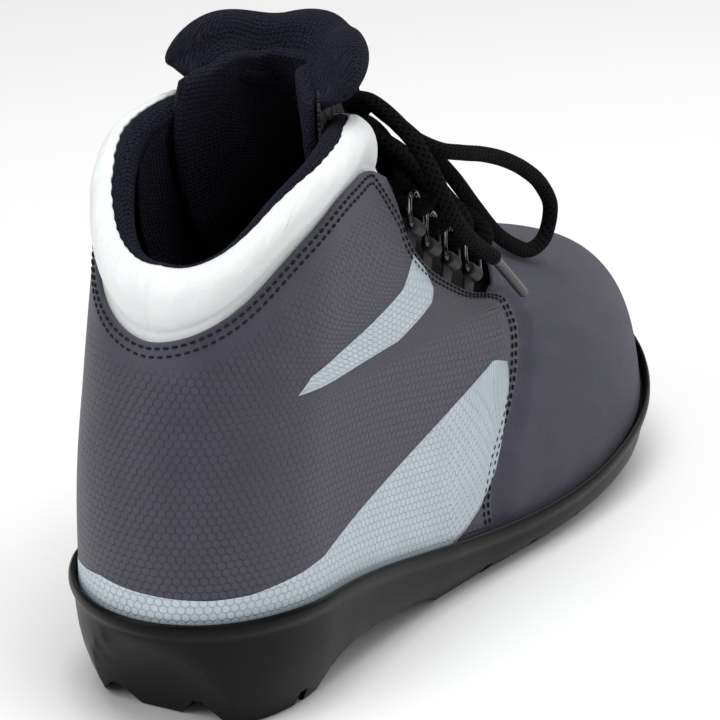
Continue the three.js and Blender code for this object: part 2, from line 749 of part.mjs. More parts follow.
function laceRing(frame) {
  const half = RING_WIDTH / 2;
  const outline = [
    [0, -half * 0.8],
    [0, 0],
    [0, half * 0.8],
    [1.2, half * 0.98],
    [4, half],
    [7.2, half * 0.8],
    [RING_REACH, half * 0.3],
    [RING_REACH, -half * 0.3],
    [7.2, -half * 0.8],
    [4, -half],
    [1.2, -half * 0.98],
  ];
  const points = outline.map(([over, edge]) => inFrame(frame, over, over * RING_TILT, edge));
  return hoop(points, RING_WIRE_RADIUS, 18, 6);
}

const frames = { outer: [], inner: [] };
for (const [side, name] of [
  [-1, "outer"],
  [1, "inner"],
]) {
  RING_HEIGHTS.forEach((height, i) => {
    const frame = ringFrame(side, height);
    frames[name].push(frame);
    add(`ring_tab_${name}_${i + 1}`, tab(frame), cloth(0x26272a, 0.6));
    add(`lace_ring_${name}_${i + 1}`, laceRing(frame), cloth(0x0c0c0e, 0.15));
  });
}

// ---------------------------------------------------------------- the lace

const LACE_SIDES = 8;
const LACE_LOW = TONGUE_CREST - LACE_RADIUS - 3 * FIT_GAP; // a strand that lies on the tongue
const LACE_HIGH = LACE_LOW - 2 * LACE_RADIUS - 2 * FIT_GAP; // a strand that crosses over it
const CROSSINGS = [0.672, 0.7, 0.726]; // heights where the strands cross on the instep
const BOTTOM_BAR = 0.64;
const KNOT_HEIGHT = 0.765;
const KNOT_SIZE = [6, 8, 5];

// the lace turns round the far wire of a ring: over it, through the opening and under it
function turnRound(frame) {
  const reach = new THREE.Vector3().addScaledVector(frame.over, 1).addScaledVector(frame.out, RING_TILT).normalize();
  const up = new THREE.Vector3().crossVectors(frame.edge, reach).normalize();
  if (up.dot(frame.out) < 0) up.negate();
  const wire = inFrame(frame, RING_REACH, RING_REACH * RING_TILT);
  const radius = RING_WIRE_RADIUS + LACE_TURN + LACE_RADIUS;
  const point = (turn) => {
    const spot = wire.clone().addScaledVector(up, radius * Math.cos(turn));
    return spot.addScaledVector(reach, -radius * Math.sin(turn));
  };
  return [-0.25, 0, 0.25, 0.5, 0.75, 1, 1.25].map((share) => point(share * Math.PI));
}

// crosses the instep from a ring's top to the next ring's underside
function crossing(side, i, depth) {
  return at(side * 0.02, CROSSINGS[i], depth);
}

function laceRoute() {
  const outer = frames.outer.map(turnRound);
  const inner = frames.inner.map(turnRound);
  const route = [];
  const knotSide = (side) => at(side * 0.3, KNOT_HEIGHT - 0.008, 3);
  // down one side from the knot, over the rings in turn, and up the other side
  let [near, far] = [outer, inner];
  route.push(knotSide(-1));
  for (let i = RING_HEIGHTS.length - 1; i >= 0; i--) {
    route.push(...near[i]);
    route.push(i > 0 ? crossing(0, i - 1, LACE_HIGH) : at(0, BOTTOM_BAR, LACE_LOW));
    [near, far] = [far, near];
  }
  for (let i = 0; i < RING_HEIGHTS.length; i++) {
    route.push(...near[i].slice().reverse());
    if (i < RING_HEIGHTS.length - 1) route.push(crossing(0, i, LACE_LOW));
    [near, far] = [far, near];
  }
  route.push(knotSide(1));
  return route;
}

add("lace", tube(laceRoute(), LACE_RADIUS, 160, LACE_SIDES), cloth(BLACK));

const knot = new THREE.SphereGeometry(1, 12, 8).scale(...KNOT_SIZE);
const knotCentre = at(0, KNOT_HEIGHT, 0.5);
const knotTurn = new THREE.Quaternion().setFromUnitVectors(new THREE.Vector3(0, 0, 1), outward(0, KNOT_HEIGHT));
add("lace_knot", knot.applyQuaternion(knotTurn).translate(...knotCentre.toArray()), cloth(BLACK));

// the free loops and ends of the bow, routed by hand from the knot
const BOW_OUTER = [
  [120, -8.5, 139],
  [118.5, -15, 136.5],
  [119.5, -21, 131.5],
  [125, -26, 127],
  [137, -27.5, 122.5],
  [150, -27.5, 118],
  [163, -27.5, 112.5],
  [176, -27.5, 105.5],
  [187, -27.5, 97.5],
  [193.5, -27.5, 88.5],
  [191, -27, 80.5],
  [183, -26.5, 79],
  [173, -26, 83.5],
  [162, -25.5, 91],
  [151, -24, 102.5],
  [142, -22.5, 112.8],
  [134, -20, 121.5],
  [128, -16, 129],
  [124, -9, 136],
];
const BOW_INNER = [
  [120, 9.8, 139],
  [121, 15, 136],
  [126, 21.5, 129],
  [134, 26, 119.5],
  [144, 28.5, 108.5],
  [154, 29, 98],
  [163, 27, 90],
  [170, 21.5, 90],
  [169.5, 14.5, 95],
  [162, 11.5, 103],
  [153, 11, 112],
  [143, 11, 121],
  [133, 10.5, 129],
  [124, 10.5, 136],
];
const END_OUTER = [
  [113.5, -7, 142],
  [110, -14, 143],
  [107, -22, 140.5],
  [105, -30, 135],
  [104, -36, 127.5],
  [106, -39, 119],
  [112, -40, 111],
  [121, -40, 103.5],
  [132, -40, 96],
];
const END_INNER = [
  [113.5, 7, 142],
  [110, 14, 143],
  [107, 22, 140.5],
  [105.5, 30, 135],
  [106.5, 36.5, 127],
  [111, 40, 118],
  [118, 41, 109],
  [126, 41, 100],
];
const AGLET_OUTER = [
  [132.4, -40, 95.7],
  [150, -41, 79],
];
const AGLET_INNER = [
  [126.3, 41, 99.6],
  [140, 42, 80],
];

for (const [name, route, radius, steps] of [
  ["bow_loop_outer", BOW_OUTER, LACE_RADIUS, 36],
  ["bow_loop_inner", BOW_INNER, LACE_RADIUS, 28],
  ["lace_end_outer", END_OUTER, LACE_RADIUS, 18],
  ["lace_end_inner", END_INNER, LACE_RADIUS, 18],
  ["aglet_outer", AGLET_OUTER, AGLET_RADIUS, 1],
  ["aglet_inner", AGLET_INNER, AGLET_RADIUS, 1],
]) {
  add(name, tube(route, radius, steps, LACE_SIDES), cloth(BLACK, name.startsWith("aglet") ? 0.3 : 0.95));
}

// ---------------------------------------------------------------- everything stands centred on the ground

const box = new THREE.Box3().setFromObject(boot.getObjectByName("outsole"));
const middle = box.getCenter(new THREE.Vector3());
boot.position.set(-middle.x, -middle.y, -box.min.z);

const part = new THREE.Group();
part.add(boot);
part.updateMatrixWorld(true);

export default part;
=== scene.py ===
# %% [markdown]
# # A cross country ski boot
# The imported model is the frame: it fixes every size and every moving body.
# These cells lay the finished surfaces over it, piece by piece, and give each one its finish.

# %% Load the frame
import math

import bmesh
import bpy
from mathutils import Matrix, Vector, noise


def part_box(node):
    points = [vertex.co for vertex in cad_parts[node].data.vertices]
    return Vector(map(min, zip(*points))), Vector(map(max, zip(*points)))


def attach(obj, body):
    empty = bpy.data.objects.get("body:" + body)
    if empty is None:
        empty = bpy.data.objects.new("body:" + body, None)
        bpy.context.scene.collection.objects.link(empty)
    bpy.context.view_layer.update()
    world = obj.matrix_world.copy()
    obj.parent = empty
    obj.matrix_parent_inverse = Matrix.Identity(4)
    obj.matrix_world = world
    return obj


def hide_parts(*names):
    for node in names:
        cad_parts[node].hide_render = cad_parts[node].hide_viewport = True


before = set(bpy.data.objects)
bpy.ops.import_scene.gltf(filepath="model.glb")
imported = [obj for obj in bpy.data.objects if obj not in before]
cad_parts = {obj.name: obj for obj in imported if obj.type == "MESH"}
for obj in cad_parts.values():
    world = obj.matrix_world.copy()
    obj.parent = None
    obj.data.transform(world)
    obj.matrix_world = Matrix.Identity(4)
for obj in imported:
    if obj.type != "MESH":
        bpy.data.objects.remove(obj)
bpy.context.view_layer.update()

# %% [markdown]
# The camera stands behind the boot on its outer side, a little above it.
# A long lens keeps the boot's lines nearly parallel, as a product picture has them.

# %% Camera
CAMERA_TURN = math.radians(27.9)
CAMERA_RISE = math.radians(21.8)
CAMERA_DISTANCE = 1.3
VIEW_CENTRE = Vector((-0.0325, -0.015, 0.0727))

towards_camera = Vector((
    -math.cos(CAMERA_TURN) * math.cos(CAMERA_RISE),
    -math.sin(CAMERA_TURN) * math.cos(CAMERA_RISE),
    math.sin(CAMERA_RISE),
))
lens = bpy.data.cameras.new("camera")
lens.lens = 3.7 * CAMERA_DISTANCE * 1000 / 720 * 36
lens.sensor_width = 36
lens.clip_end = 20
camera = bpy.data.objects.new("camera", lens)
camera.location = VIEW_CENTRE + towards_camera * CAMERA_DISTANCE
camera.rotation_euler = (-towards_camera).to_track_quat("-Z", "Y").to_euler()
bpy.context.scene.collection.objects.link(camera)
bpy.context.scene.camera = camera
print("lens", round(lens.lens, 1), "mm")

# %% [markdown]
# A boot is made on a last, a smooth form of the foot.
# Each layer of the upper is a height and an angle on that form, pushed in by a depth.
# The form has the same numbers as the model's source, so a layer laid here sits in its solid.

# %% The last
MM = 0.001
HEEL_X = [2, 1, 2.5, 6, 9, 14, 18.5]
HEEL_RISE = [0, 20.5, 38, 53.5, 67, 83.5, 108]
FRONT_X = [263, 269.5, 245, 202, 141, 102, 107.5]
FRONT_RISE = [0, 15, 33.5, 44.5, 83, 129, 137.5]
JOINT_HALF_WIDTHS = [34, 36, 38.5, 49, 36.5]
COLLAR_HALF_WIDTHS = [31, 31, 33.5, 23, 15.5]
SOLE_HEIGHTS = [31, 29.5, 16, 9, 13.5, 29.5]
SWING = [-4, 3, -2.5, 1.5]
COLLAR_DIP = [-15, 2.5, 4.5, 3.5, 1]
HEEL_ROUND = 43
TOE_ROUND = (0.2, 0.3)

# the form's own zero is at the heel; the steel toe bar shows where the model stands
bar_low, bar_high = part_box("toe_bar")
STAND = Vector(((bar_low[0] + bar_high[0]) / 2 - 0.249, (bar_low[1] + bar_high[1]) / 2, 0))


def mix(a, b, share):
    return a + (b - a) * share


def clamp(x, low=0.0, high=1.0):
    return max(low, min(high, x))


def smooth(x, low, high):
    share = clamp((x - low) / (high - low))
    return share * share * (3 - 2 * share)


def spline(values, at):
    """A smooth curve drawn by evenly spaced values, running straight on past its end."""
    if at > 1:
        return spline(values, 1) + (at - 1) / 0.02 * (spline(values, 1) - spline(values, 0.98))
    end = len(values) - 1
    grown = [2 * values[0] - values[1], *values, 2 * values[end] - values[end - 1]]
    place = clamp(at) * end
    i = min(int(place), end - 1)
    u = place - i
    w = 1 - u
    a, b, c, d = grown[i:i + 4]
    return (w**3 * a + (3 * u**3 - 6 * u * u + 4) * b + (3 * w**3 - 6 * w * w + 4) * c + u**3 * d) / 6


def through(points, at):
    """Straight lines between (position, value) points."""
    if at <= points[0][0]:
        return points[0][1]
    for (x0, y0), (x1, y1) in zip(points, points[1:]):
        if at <= x1:
            return mix(y0, y1, (at - x0) / (x1 - x0))
    return points[-1][1]


def sole_height(along):
    return spline(SOLE_HEIGHTS, along)


def last(angle, height):
    """Angle is 0 at the toe, pi at the heel, positive on the inner side. Millimetres."""
    along = (1 + math.cos(angle)) / 2
    back = spline(HEEL_X, height)
    length = spline(FRONT_X, height) - back
    widths = [mix(a, b, height) for a, b in zip(JOINT_HALF_WIDTHS, COLLAR_HALF_WIDTHS)]
    heel_round = math.sqrt(1 - clamp(1 - along * length / HEEL_ROUND) ** 2)
    toe_share = TOE_ROUND[0] + TOE_ROUND[1] * height
    toe_round = (1 - clamp(1 - (1 - along) / toe_share) ** 2.3) ** (1 / 2.3)
    half = spline(widths, along) * heel_round * toe_round * (1 if math.sin(angle) >= 0 else -1)
    straight = mix(SOLE_HEIGHTS[0], SOLE_HEIGHTS[5], along)
    joint = straight + (sole_height(along) - straight) * max(0, 1 - 2 * height) ** 2
    rise = mix(spline(HEEL_RISE, height), spline(FRONT_RISE, height), along)
    dip = spline(COLLAR_DIP, along) * max(0, 2 * height - 1) ** 2
    swing = spline(SWING, along) * (1 - height)
    return Vector((back + length * along, half + swing, joint + rise + dip))


def outward(angle, height):
    step = 0.004
    around = last(angle + step, height) - last(angle - step, height)
    up = last(angle, height + step) - last(angle, max(height - step, 0))
    return around.cross(up).normalized()


def skin(angle, height, depth=0.0):
    """A point of the upper, so deep in the form, in metres in the model's frame."""
    return (last(angle, height) - outward(angle, height) * depth) * MM + STAND


print("heel", [round(x, 4) for x in skin(math.pi, 0)], "toe", [round(x, 4) for x in skin(0, 0)])

# %% [markdown]
# The seams are lines on the form: the front edge of the quarter with its eyestay,
# the lower and upper edge of the padded collar, and the throat where the vamp ends.

# %% Seam lines
QUARTER_EDGE = [
    (0, 1.55), (0.06, 1.57), (0.14, 1.53), (0.23, 1.44), (0.34, 1.32), (0.44, 1.18), (0.5, 1.08),
    (0.53, 1.19), (0.62, 1.26), (0.67, 1.25), (0.69, 1.22), (0.74, 1.08),
]
COLLAR_LOW = [(1, 0.727), (1.23, 0.807), (1.67, 0.843), (2.1, 0.835), (2.46, 0.812), (3.15, 0.79)]
COLLAR_TOP = [(1, 0.86), (1.25, 0.9), (1.75, 0.935), (2.1, 0.955), (2.5, 0.96), (3.15, 1)]
COLLAR_FRONT = 1.0


def eased(points, at, reach):
    """The same straight lines with their corners rounded off."""
    offsets = (-1, -0.5, 0, 0.5, 1)
    return sum(through(points, at + reach * o) for o in offsets) / len(offsets)


def quarter_edge(height):
    return eased(QUARTER_EDGE, height, 0.018)


def collar_low(angle):
    return eased(COLLAR_LOW, angle, 0.12)


def collar_top(angle):
    return eased(COLLAR_TOP, angle, 0.12)


def throat(share):
    return mix(0.5, 0.6, math.cos(share * math.pi / 2))


def from_toe(angle):
    return abs(angle - 2 * math.pi if angle > math.pi else angle)


def around_heel(across, edge):
    """0 is the outer side's edge, 1 the inner side's, with the heel between them."""
    return math.pi + (2 * across - 1) * (math.pi - edge)


print("throat", round(throat(0), 2), "collar height in front", round(collar_top(1), 3))

# %% [markdown]
# One helper makes nearly every soft surface: it starts from a flat bmesh grid
# and lays each corner where a rule says. It also measures the cloth, so that the
# UV map is in metres along the surface and a weave keeps its real size everywhere.

# %% Laying a grid
def finish_mesh(name, bm, material, body):
    mesh = bpy.data.meshes.new(name)
    bm.to_mesh(mesh)
    bm.free()
    for face in mesh.polygons:
        face.use_smooth = True
    piece = bpy.data.objects.new(name, mesh)
    bpy.context.scene.collection.objects.link(piece)
    piece.data.materials.append(material)
    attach(piece, body)
    print(f"{name}: {len(mesh.polygons)} faces")
    return piece


def measured_grid(columns, rows, place):
    """A grid laid by place(across, up), with its UV map in metres."""
    bm = bmesh.new()
    bmesh.ops.create_grid(bm, x_segments=columns, y_segments=rows, size=1)
    spot = {}
    for vert in bm.verts:
        i = round((vert.co.x + 1) / 2 * columns)
        j = round((vert.co.y + 1) / 2 * rows)
        spot[vert] = (i, j)
    points = {ij: place(ij[0] / columns, ij[1] / rows) for ij in spot.values()}
    across = {}
    up = {}
    middle = columns // 2
    for j in range(rows + 1):
        across[middle, j] = 0.0
        for i in range(middle, columns):
            across[i + 1, j] = across[i, j] + (points[i + 1, j] - points[i, j]).length
        for i in range(middle, 0, -1):
            across[i - 1, j] = across[i, j] - (points[i - 1, j] - points[i, j]).length
    for i in range(columns + 1):
        up[i, 0] = 0.0
        for j in range(rows):
            up[i, j + 1] = up[i, j] + (points[i, j + 1] - points[i, j]).length
    cloth = bm.loops.layers.uv.new("cloth")
    edges = bm.loops.layers.uv.new("edges")
    for face in bm.faces:
        for loop in face.loops:
            i, j = spot[loop.vert]
            loop[cloth].uv = (across[i, j], up[i, j])
            side = min(across[columns, j] - across[i, j], across[i, j] - across[0, j])
            loop[edges].uv = (side, up[i, rows] - up[i, j])
    for vert, ij in spot.items():
        vert.co = points[ij]
    return bm


def face_out(bm, out_of):
    """Turns an open sheet so that its faces look away from the point out_of gives them."""
    facing = sum(f.normal.dot(f.calc_center_median() - out_of(f.calc_center_median())) for f in bm.faces)
    if facing < 0:
        bmesh.ops.reverse_faces(bm, faces=bm.faces[:])


def foot_middle(point):
    return Vector((clamp(point.x, -0.09, 0.08), 0, min(point.z, 0.05 if point.x > -0.03 else 0.11)))


def sheet(name, columns, rows, place, material, wall, body="boot", bevel=0.0, inside=False):
    """An open sheet laid on the form, given its thickness towards the foot."""
    bm = measured_grid(columns, rows, place)
    bm.normal_update()
    face_out(bm, foot_middle)
    if inside:
        bmesh.ops.reverse_faces(bm, faces=bm.faces[:])
    piece = finish_mesh(name, bm, material, body)
    thick = piece.modifiers.new("wall", "SOLIDIFY")
    thick.thickness = wall
    thick.offset = -1
    if bevel:
        edge = piece.modifiers.new("edge", "BEVEL")
        edge.width = bevel
        edge.segments = 3
        edge.limit_method = "ANGLE"
        edge.angle_limit = math.radians(50)
    return piece


def closed(name, columns, rows, place, material, body="boot"):
    """A grid whose rows meet round a section; its seam and ends are merged into one skin."""
    bm = measured_grid(columns, rows, place)
    bmesh.ops.remove_doubles(bm, verts=bm.verts[:], dist=2e-6)
    bmesh.ops.dissolve_degenerate(bm, dist=1e-7, edges=bm.edges[:])
    holes = [e for e in bm.edges if e.is_boundary]
    if holes:
        bmesh.ops.holes_fill(bm, edges=holes, sides=0)
    bmesh.ops.recalc_face_normals(bm, faces=bm.faces[:])
    if bm.calc_volume(signed=True) < 0:
        bmesh.ops.reverse_faces(bm, faces=bm.faces[:])
    return finish_mesh(name, bm, material, body)


# %% [markdown]
# A lace is a tube along a smooth curve through given points, and each ring of the tube is carried along without
# twisting, so the braid runs straight.

# %% Laying a cord
def smooth_path(points, steps, loop=False):
    """The curve through the points, cut into even steps."""
    points = [Vector(p) for p in points]
    count = len(points)
    dense = []
    for i in range(count if loop else count - 1):
        p1 = points[i]
        p2 = points[(i + 1) % count]
        p0 = points[i - 1] if i > 0 or loop else p1 * 2 - p2
        p3 = points[(i + 2) % count] if i + 2 < count or loop else p2 * 2 - p1
        d0, d1, d2 = [max((b - a).length ** 0.5, 1e-6) for a, b in ((p0, p1), (p1, p2), (p2, p3))]
        t1 = ((p1 - p0) / d0 - (p2 - p0) / (d0 + d1) + (p2 - p1) / d1) * d1
        t2 = ((p2 - p1) / d1 - (p3 - p1) / (d1 + d2) + (p3 - p2) / d2) * d1
        for k in range(12):
            t = k / 12
            bend = p1 * -3 + p2 * 3 - t1 * 2 - t2
            turn = p1 * 2 - p2 * 2 + t1 + t2
            dense.append(p1 + t1 * t + bend * t * t + turn * t**3)
    dense.append(points[0].copy() if loop else points[-1].copy())
    reach = [0.0]
    for a, b in zip(dense, dense[1:]):
        reach.append(reach[-1] + (b - a).length)
    path = []
    k = 0
    for step in range(steps + 1):
        want = reach[-1] * step / steps
        while k < len(reach) - 2 and reach[k + 1] < want:
            k += 1
        share = (want - reach[k]) / max(reach[k + 1] - reach[k], 1e-9)
        path.append(dense[k].lerp(dense[k + 1], clamp(share)))
    return path


def path_length(path):
    return sum((b - a).length for a, b in zip(path, path[1:]))


def frames_along(path, loop=False):
    """A pair of side directions at each point, carried along the path without twist."""
    tangents = []
    for i in range(len(path)):
        before = path[i - 1] if i > 0 else (path[-2] if loop else path[0])
        after = path[i + 1] if i + 1 < len(path) else (path[1] if loop else path[-1])
        tangents.append((after - before).normalized())
    side = tangents[0].orthogonal().normalized()
    sides = [side]
    for a, b in zip(tangents, tangents[1:]):
        side = a.rotation_difference(b) @ side
        sides.append(side.normalized())
    if loop:
        gap = sides[-1].angle(sides[0])
        if tangents[0].dot(sides[-1].cross(sides[0])) < 0:
            gap = -gap
        turned = enumerate(sides)
        sides = [Matrix.Rotation(gap * i / (len(sides) - 1), 3, tangents[i]) @ s for i, s in turned]
    return [(s, t.cross(s).normalized()) for s, t in zip(sides, tangents)]


def strand(name, path, radius, sides, material, body="boot", loop=False, swell=None):
    """A tube along a path; swell(share) scales its thickness."""
    frames = frames_along(path, loop)
    steps = len(path) - 1

    def place(across, up):
        i = round(across * steps)
        turn = 2 * math.pi * up
        size = radius * (swell(across) if swell else 1)
        side, lift = frames[i]
        return path[i] + side * (size * math.cos(turn)) + lift * (size * math.sin(turn))

    return closed(name, steps, sides, place, material, body)

# %% [markdown]
# Finishes are built from nodes. Cloth patterns read the UV map in metres;
# moulded pieces read Object coordinates. Each shared effect is a group with named sockets,
# and only its heights and masks leave it, so every material keeps its own shader.

# %% Small node helpers
def paint(hex_code):
    """A screen colour as the linear values that a shader reads."""
    parts = [int(hex_code[i:i + 2], 16) / 255 for i in (0, 2, 4)]
    return [p / 12.92 if p <= 0.04045 else ((p + 0.055) / 1.055) ** 2.4 for p in parts] + [1.0]


def put(tree, kind, inputs=None, **settings):
    node = tree.nodes.new(kind)
    for key, value in settings.items():
        setattr(node, key, value)
    for key, value in (inputs or {}).items():
        if isinstance(value, bpy.types.NodeSocket):
            tree.links.new(value, node.inputs[key])
        else:
            node.inputs[key].default_value = value
    return node


def calc(tree, operation, *values):
    return put(tree, "ShaderNodeMath", dict(enumerate(values)), operation=operation).outputs[0]


def calc_vector(tree, operation, *values):
    node = put(tree, "ShaderNodeVectorMath", dict(enumerate(values)), operation=operation)
    return node.outputs["Value" if operation in ("LENGTH", "DOT_PRODUCT") else "Vector"]


def group(name, inputs, outputs):
    """An empty node group; inputs are (name, kind, value), outputs (name, kind)."""
    tree = bpy.data.node_groups.new(name, "ShaderNodeTree")
    for label, kind, value in inputs:
        socket = tree.interface.new_socket(label, in_out="INPUT", socket_type="NodeSocket" + kind)
        if value is not None:
            socket.default_value = value
    for label, kind in outputs:
        tree.interface.new_socket(label, in_out="OUTPUT", socket_type="NodeSocket" + kind)
    return tree, tree.nodes.new("NodeGroupInput").outputs, tree.nodes.new("NodeGroupOutput").inputs


def wave(tree, coordinate, pitch, phase=0.0):
    """A sine between -1 and 1 with the given pitch in metres."""
    turns = calc(tree, "DIVIDE", coordinate, pitch)
    angle = calc(tree, "MULTIPLY", turns, 2 * math.pi)
    return calc(tree, "SINE", calc(tree, "ADD", angle, phase))


# %% [markdown]
# **Grain** is fine unevenness at two scales, for skins and moulded plastic.
# **Cells** are the honeycomb embossed in the quarter.
# **Weave**, **knit** and **braid** are thread patterns, each with its pitch as an input.

# %% Grain
grain_group, given, made = group(
    "grain",
    [("Vector", "Vector", None), ("Size", "Float", 0.001)],
    [("Height", "Float"), ("Shade", "Float")],
)
scale = calc(grain_group, "DIVIDE", 1.0, given["Size"])
fine = put(grain_group, "ShaderNodeTexNoise", {"Vector": given["Vector"], "Scale": scale, "Detail": 3.0})
broad_scale = calc(grain_group, "DIVIDE", scale, 24.0)
broad = put(grain_group, "ShaderNodeTexNoise", {"Vector": given["Vector"], "Scale": broad_scale, "Detail": 4.0})
grain_group.links.new(fine.outputs["Fac"], made["Height"])
grain_group.links.new(broad.outputs["Fac"], made["Shade"])

# %% Honeycomb cells
cell_group, given, made = group(
    "cells",
    [("Vector", "Vector", None), ("Pitch", "Float", 0.003), ("Line", "Float", 0.08)],
    [("Line", "Float"), ("Crown", "Float")],
)
ROW = (1.0, 3**0.5, 1.0)
HALF = (0.5, 3**0.5 / 2, 0.5)
inverse = calc(cell_group, "DIVIDE", 1.0, given["Pitch"])
point = put(cell_group, "ShaderNodeVectorMath", {0: given["Vector"], "Scale": inverse}, operation="SCALE")
point = calc_vector(cell_group, "ADD", point.outputs[0], (500.0, 500 * 3**0.5, 0.0))
near_a = calc_vector(cell_group, "SUBTRACT", calc_vector(cell_group, "MODULO", point, ROW), HALF)
shifted = calc_vector(cell_group, "SUBTRACT", point, HALF)
near_b = calc_vector(cell_group, "SUBTRACT", calc_vector(cell_group, "MODULO", shifted, ROW), HALF)
FLAT = (1.0, 1.0, 0.0)
flat_a = calc_vector(cell_group, "MULTIPLY", near_a, FLAT)
flat_b = calc_vector(cell_group, "MULTIPLY", near_b, FLAT)
closer = calc(
    cell_group, "LESS_THAN", calc_vector(cell_group, "LENGTH", flat_a), calc_vector(cell_group, "LENGTH", flat_b)
)
chosen = put(cell_group, "ShaderNodeMix", {0: closer}, data_type="VECTOR")
cell_group.links.new(flat_b, chosen.inputs[4])
cell_group.links.new(flat_a, chosen.inputs[5])
folded = calc_vector(cell_group, "ABSOLUTE", chosen.outputs[1])
slant = calc_vector(cell_group, "DOT_PRODUCT", folded, (0.5, 3**0.5 / 2, 0.0))
straight_side = put(cell_group, "ShaderNodeSeparateXYZ", {0: folded}).outputs[0]
reach = calc(cell_group, "MAXIMUM", slant, straight_side)
inner_edge = calc(cell_group, "SUBTRACT", 0.5, given["Line"])
line = put(cell_group, "ShaderNodeMapRange", {0: reach, 1: inner_edge, 2: 0.49}, interpolation_type="SMOOTHSTEP")
crown = put(cell_group, "ShaderNodeMapRange", {0: reach, 1: 0.0, 2: 0.5, 3: 1.0, 4: 0.0})
cell_group.links.new(line.outputs[0], made["Line"])
cell_group.links.new(crown.outputs[0], made["Crown"])

# %% Weave
weave_group, given, made = group(
    "weave",
    [("Vector", "Vector", None), ("Pitch", "Float", 0.001)],
    [("Height", "Float"), ("Over", "Float")],
)
parts = put(weave_group, "ShaderNodeSeparateXYZ", {0: given["Vector"]}).outputs
double = calc(weave_group, "MULTIPLY", given["Pitch"], 2.0)
warp = wave(weave_group, parts[0], double)
weft = wave(weave_group, parts[1], double)
over = calc(weave_group, "GREATER_THAN", calc(weave_group, "MULTIPLY", warp, weft), 0.0)
warp_high = calc(weave_group, "ABSOLUTE", warp)
weft_high = calc(weave_group, "ABSOLUTE", weft)
thread = put(weave_group, "ShaderNodeMix", {0: over, 2: warp_high, 3: weft_high})
weave_group.links.new(thread.outputs[0], made["Height"])
weave_group.links.new(over, made["Over"])

# %% Knit
knit_group, given, made = group(
    "knit",
    [("Vector", "Vector", None), ("Pitch", "Float", 0.0012)],
    [("Height", "Float"), ("Fuzz", "Float")],
)
parts = put(knit_group, "ShaderNodeSeparateXYZ", {0: given["Vector"]}).outputs
rib = calc(knit_group, "ABSOLUTE", wave(knit_group, parts[0], calc(knit_group, "MULTIPLY", given["Pitch"], 2.0)))
lean = calc(knit_group, "MULTIPLY", rib, 2.4)
loop_row = calc(knit_group, "MULTIPLY_ADD", wave(knit_group, parts[1], given["Pitch"], lean), 0.3, 0.6)
pile = put(knit_group, "ShaderNodeTexNoise", {"Vector": given["Vector"], "Scale": 2600.0, "Detail": 4.0})
tuft = put(knit_group, "ShaderNodeTexNoise", {"Vector": given["Vector"], "Scale": 420.0, "Detail": 3.0})
stitches = calc(knit_group, "MULTIPLY", rib, loop_row)
furry = calc(knit_group, "MULTIPLY_ADD", pile.outputs["Fac"], 0.9, stitches)
made_high = calc(knit_group, "MULTIPLY_ADD", tuft.outputs["Fac"], 0.8, furry)
knit_group.links.new(made_high, made["Height"])
knit_group.links.new(pile.outputs["Fac"], made["Fuzz"])

# %% Braid
braid_group, given, made = group(
    "braid",
    [("Vector", "Vector", None), ("Along", "Float", 0.0032), ("Around", "Float", 0.0023)],
    [("Height", "Float"), ("Gap", "Float")],
)
parts = put(braid_group, "ShaderNodeSeparateXYZ", {0: given["Vector"]}).outputs
along = calc(braid_group, "DIVIDE", parts[0], given["Along"])
around = calc(braid_group, "DIVIDE", parts[1], given["Around"])
rising = wave(braid_group, calc(braid_group, "ADD", along, around), 1.0)
falling = wave(braid_group, calc(braid_group, "SUBTRACT", along, around), 1.0)
bundle = calc(braid_group, "MAXIMUM", rising, falling)
bundle = calc(braid_group, "MULTIPLY_ADD", bundle, 0.5, 0.5)
fibre = put(braid_group, "ShaderNodeTexNoise", {"Vector": given["Vector"], "Scale": 5000.0, "Detail": 2.0})
braid_high = calc(braid_group, "MULTIPLY_ADD", fibre.outputs["Fac"], 0.25, bundle)
# the low places between the bundles, which the lace's colour darkens as painted shade
gap = put(braid_group, "ShaderNodeMapRange", {0: bundle, 1: 0.75, 2: 0.4})
braid_group.links.new(braid_high, made["Height"])
braid_group.links.new(gap.outputs[0], made["Gap"])
print("node groups:", sorted(tree.name for tree in bpy.data.node_groups))


# %% Starting a material
def start(name, roughness, metallic=0.0, **shader_values):
    """A material and its shader, with the plain values set on the shader's own sockets."""
    material = bpy.data.materials.new(name)
    material.use_nodes = True
    tree = material.node_tree
    shader = tree.nodes["Principled BSDF"]
    shader.inputs["Roughness"].default_value = roughness
    shader.inputs["Metallic"].default_value = metallic
    for key, value in shader_values.items():
        shader.inputs[key.replace("_", " ")].default_value = value
    return material, tree, shader


def cloth_map(tree, name="cloth"):
    return put(tree, "ShaderNodeUVMap", uv_map=name).outputs["UV"]


def object_place(tree):
    return put(tree, "ShaderNodeTexCoord").outputs["Object"]


def use(tree, node_group, **inputs):
    node = put(tree, "ShaderNodeGroup", node_tree=node_group)
    for key, value in inputs.items():
        if isinstance(value, bpy.types.NodeSocket):
            tree.links.new(value, node.inputs[key])
        else:
            node.inputs[key].default_value = value
    return node.outputs


def blend_colours(tree, share, first, second):
    node = put(tree, "ShaderNodeMix", data_type="RGBA")
    for socket, value in ((0, share), (6, first), (7, second)):
        if isinstance(value, bpy.types.NodeSocket):
            tree.links.new(value, node.inputs[socket])
        else:
            node.inputs[socket].default_value = value
    return node.outputs[2]


def colour_into(tree, shader, share, first, second):
    tree.links.new(blend_colours(tree, share, first, second), shader.inputs["Base Color"])


def bump_into(tree, shader, height, distance, strength=1.0):
    bump = put(tree, "ShaderNodeBump", {"Height": height, "Strength": strength, "Distance": distance})
    tree.links.new(bump.outputs["Normal"], shader.inputs["Normal"])


def rough_into(tree, shader, value, low, high):
    spread = put(tree, "ShaderNodeMapRange", {0: value, 3: low, 4: high})
    tree.links.new(spread.outputs[0], shader.inputs["Roughness"])
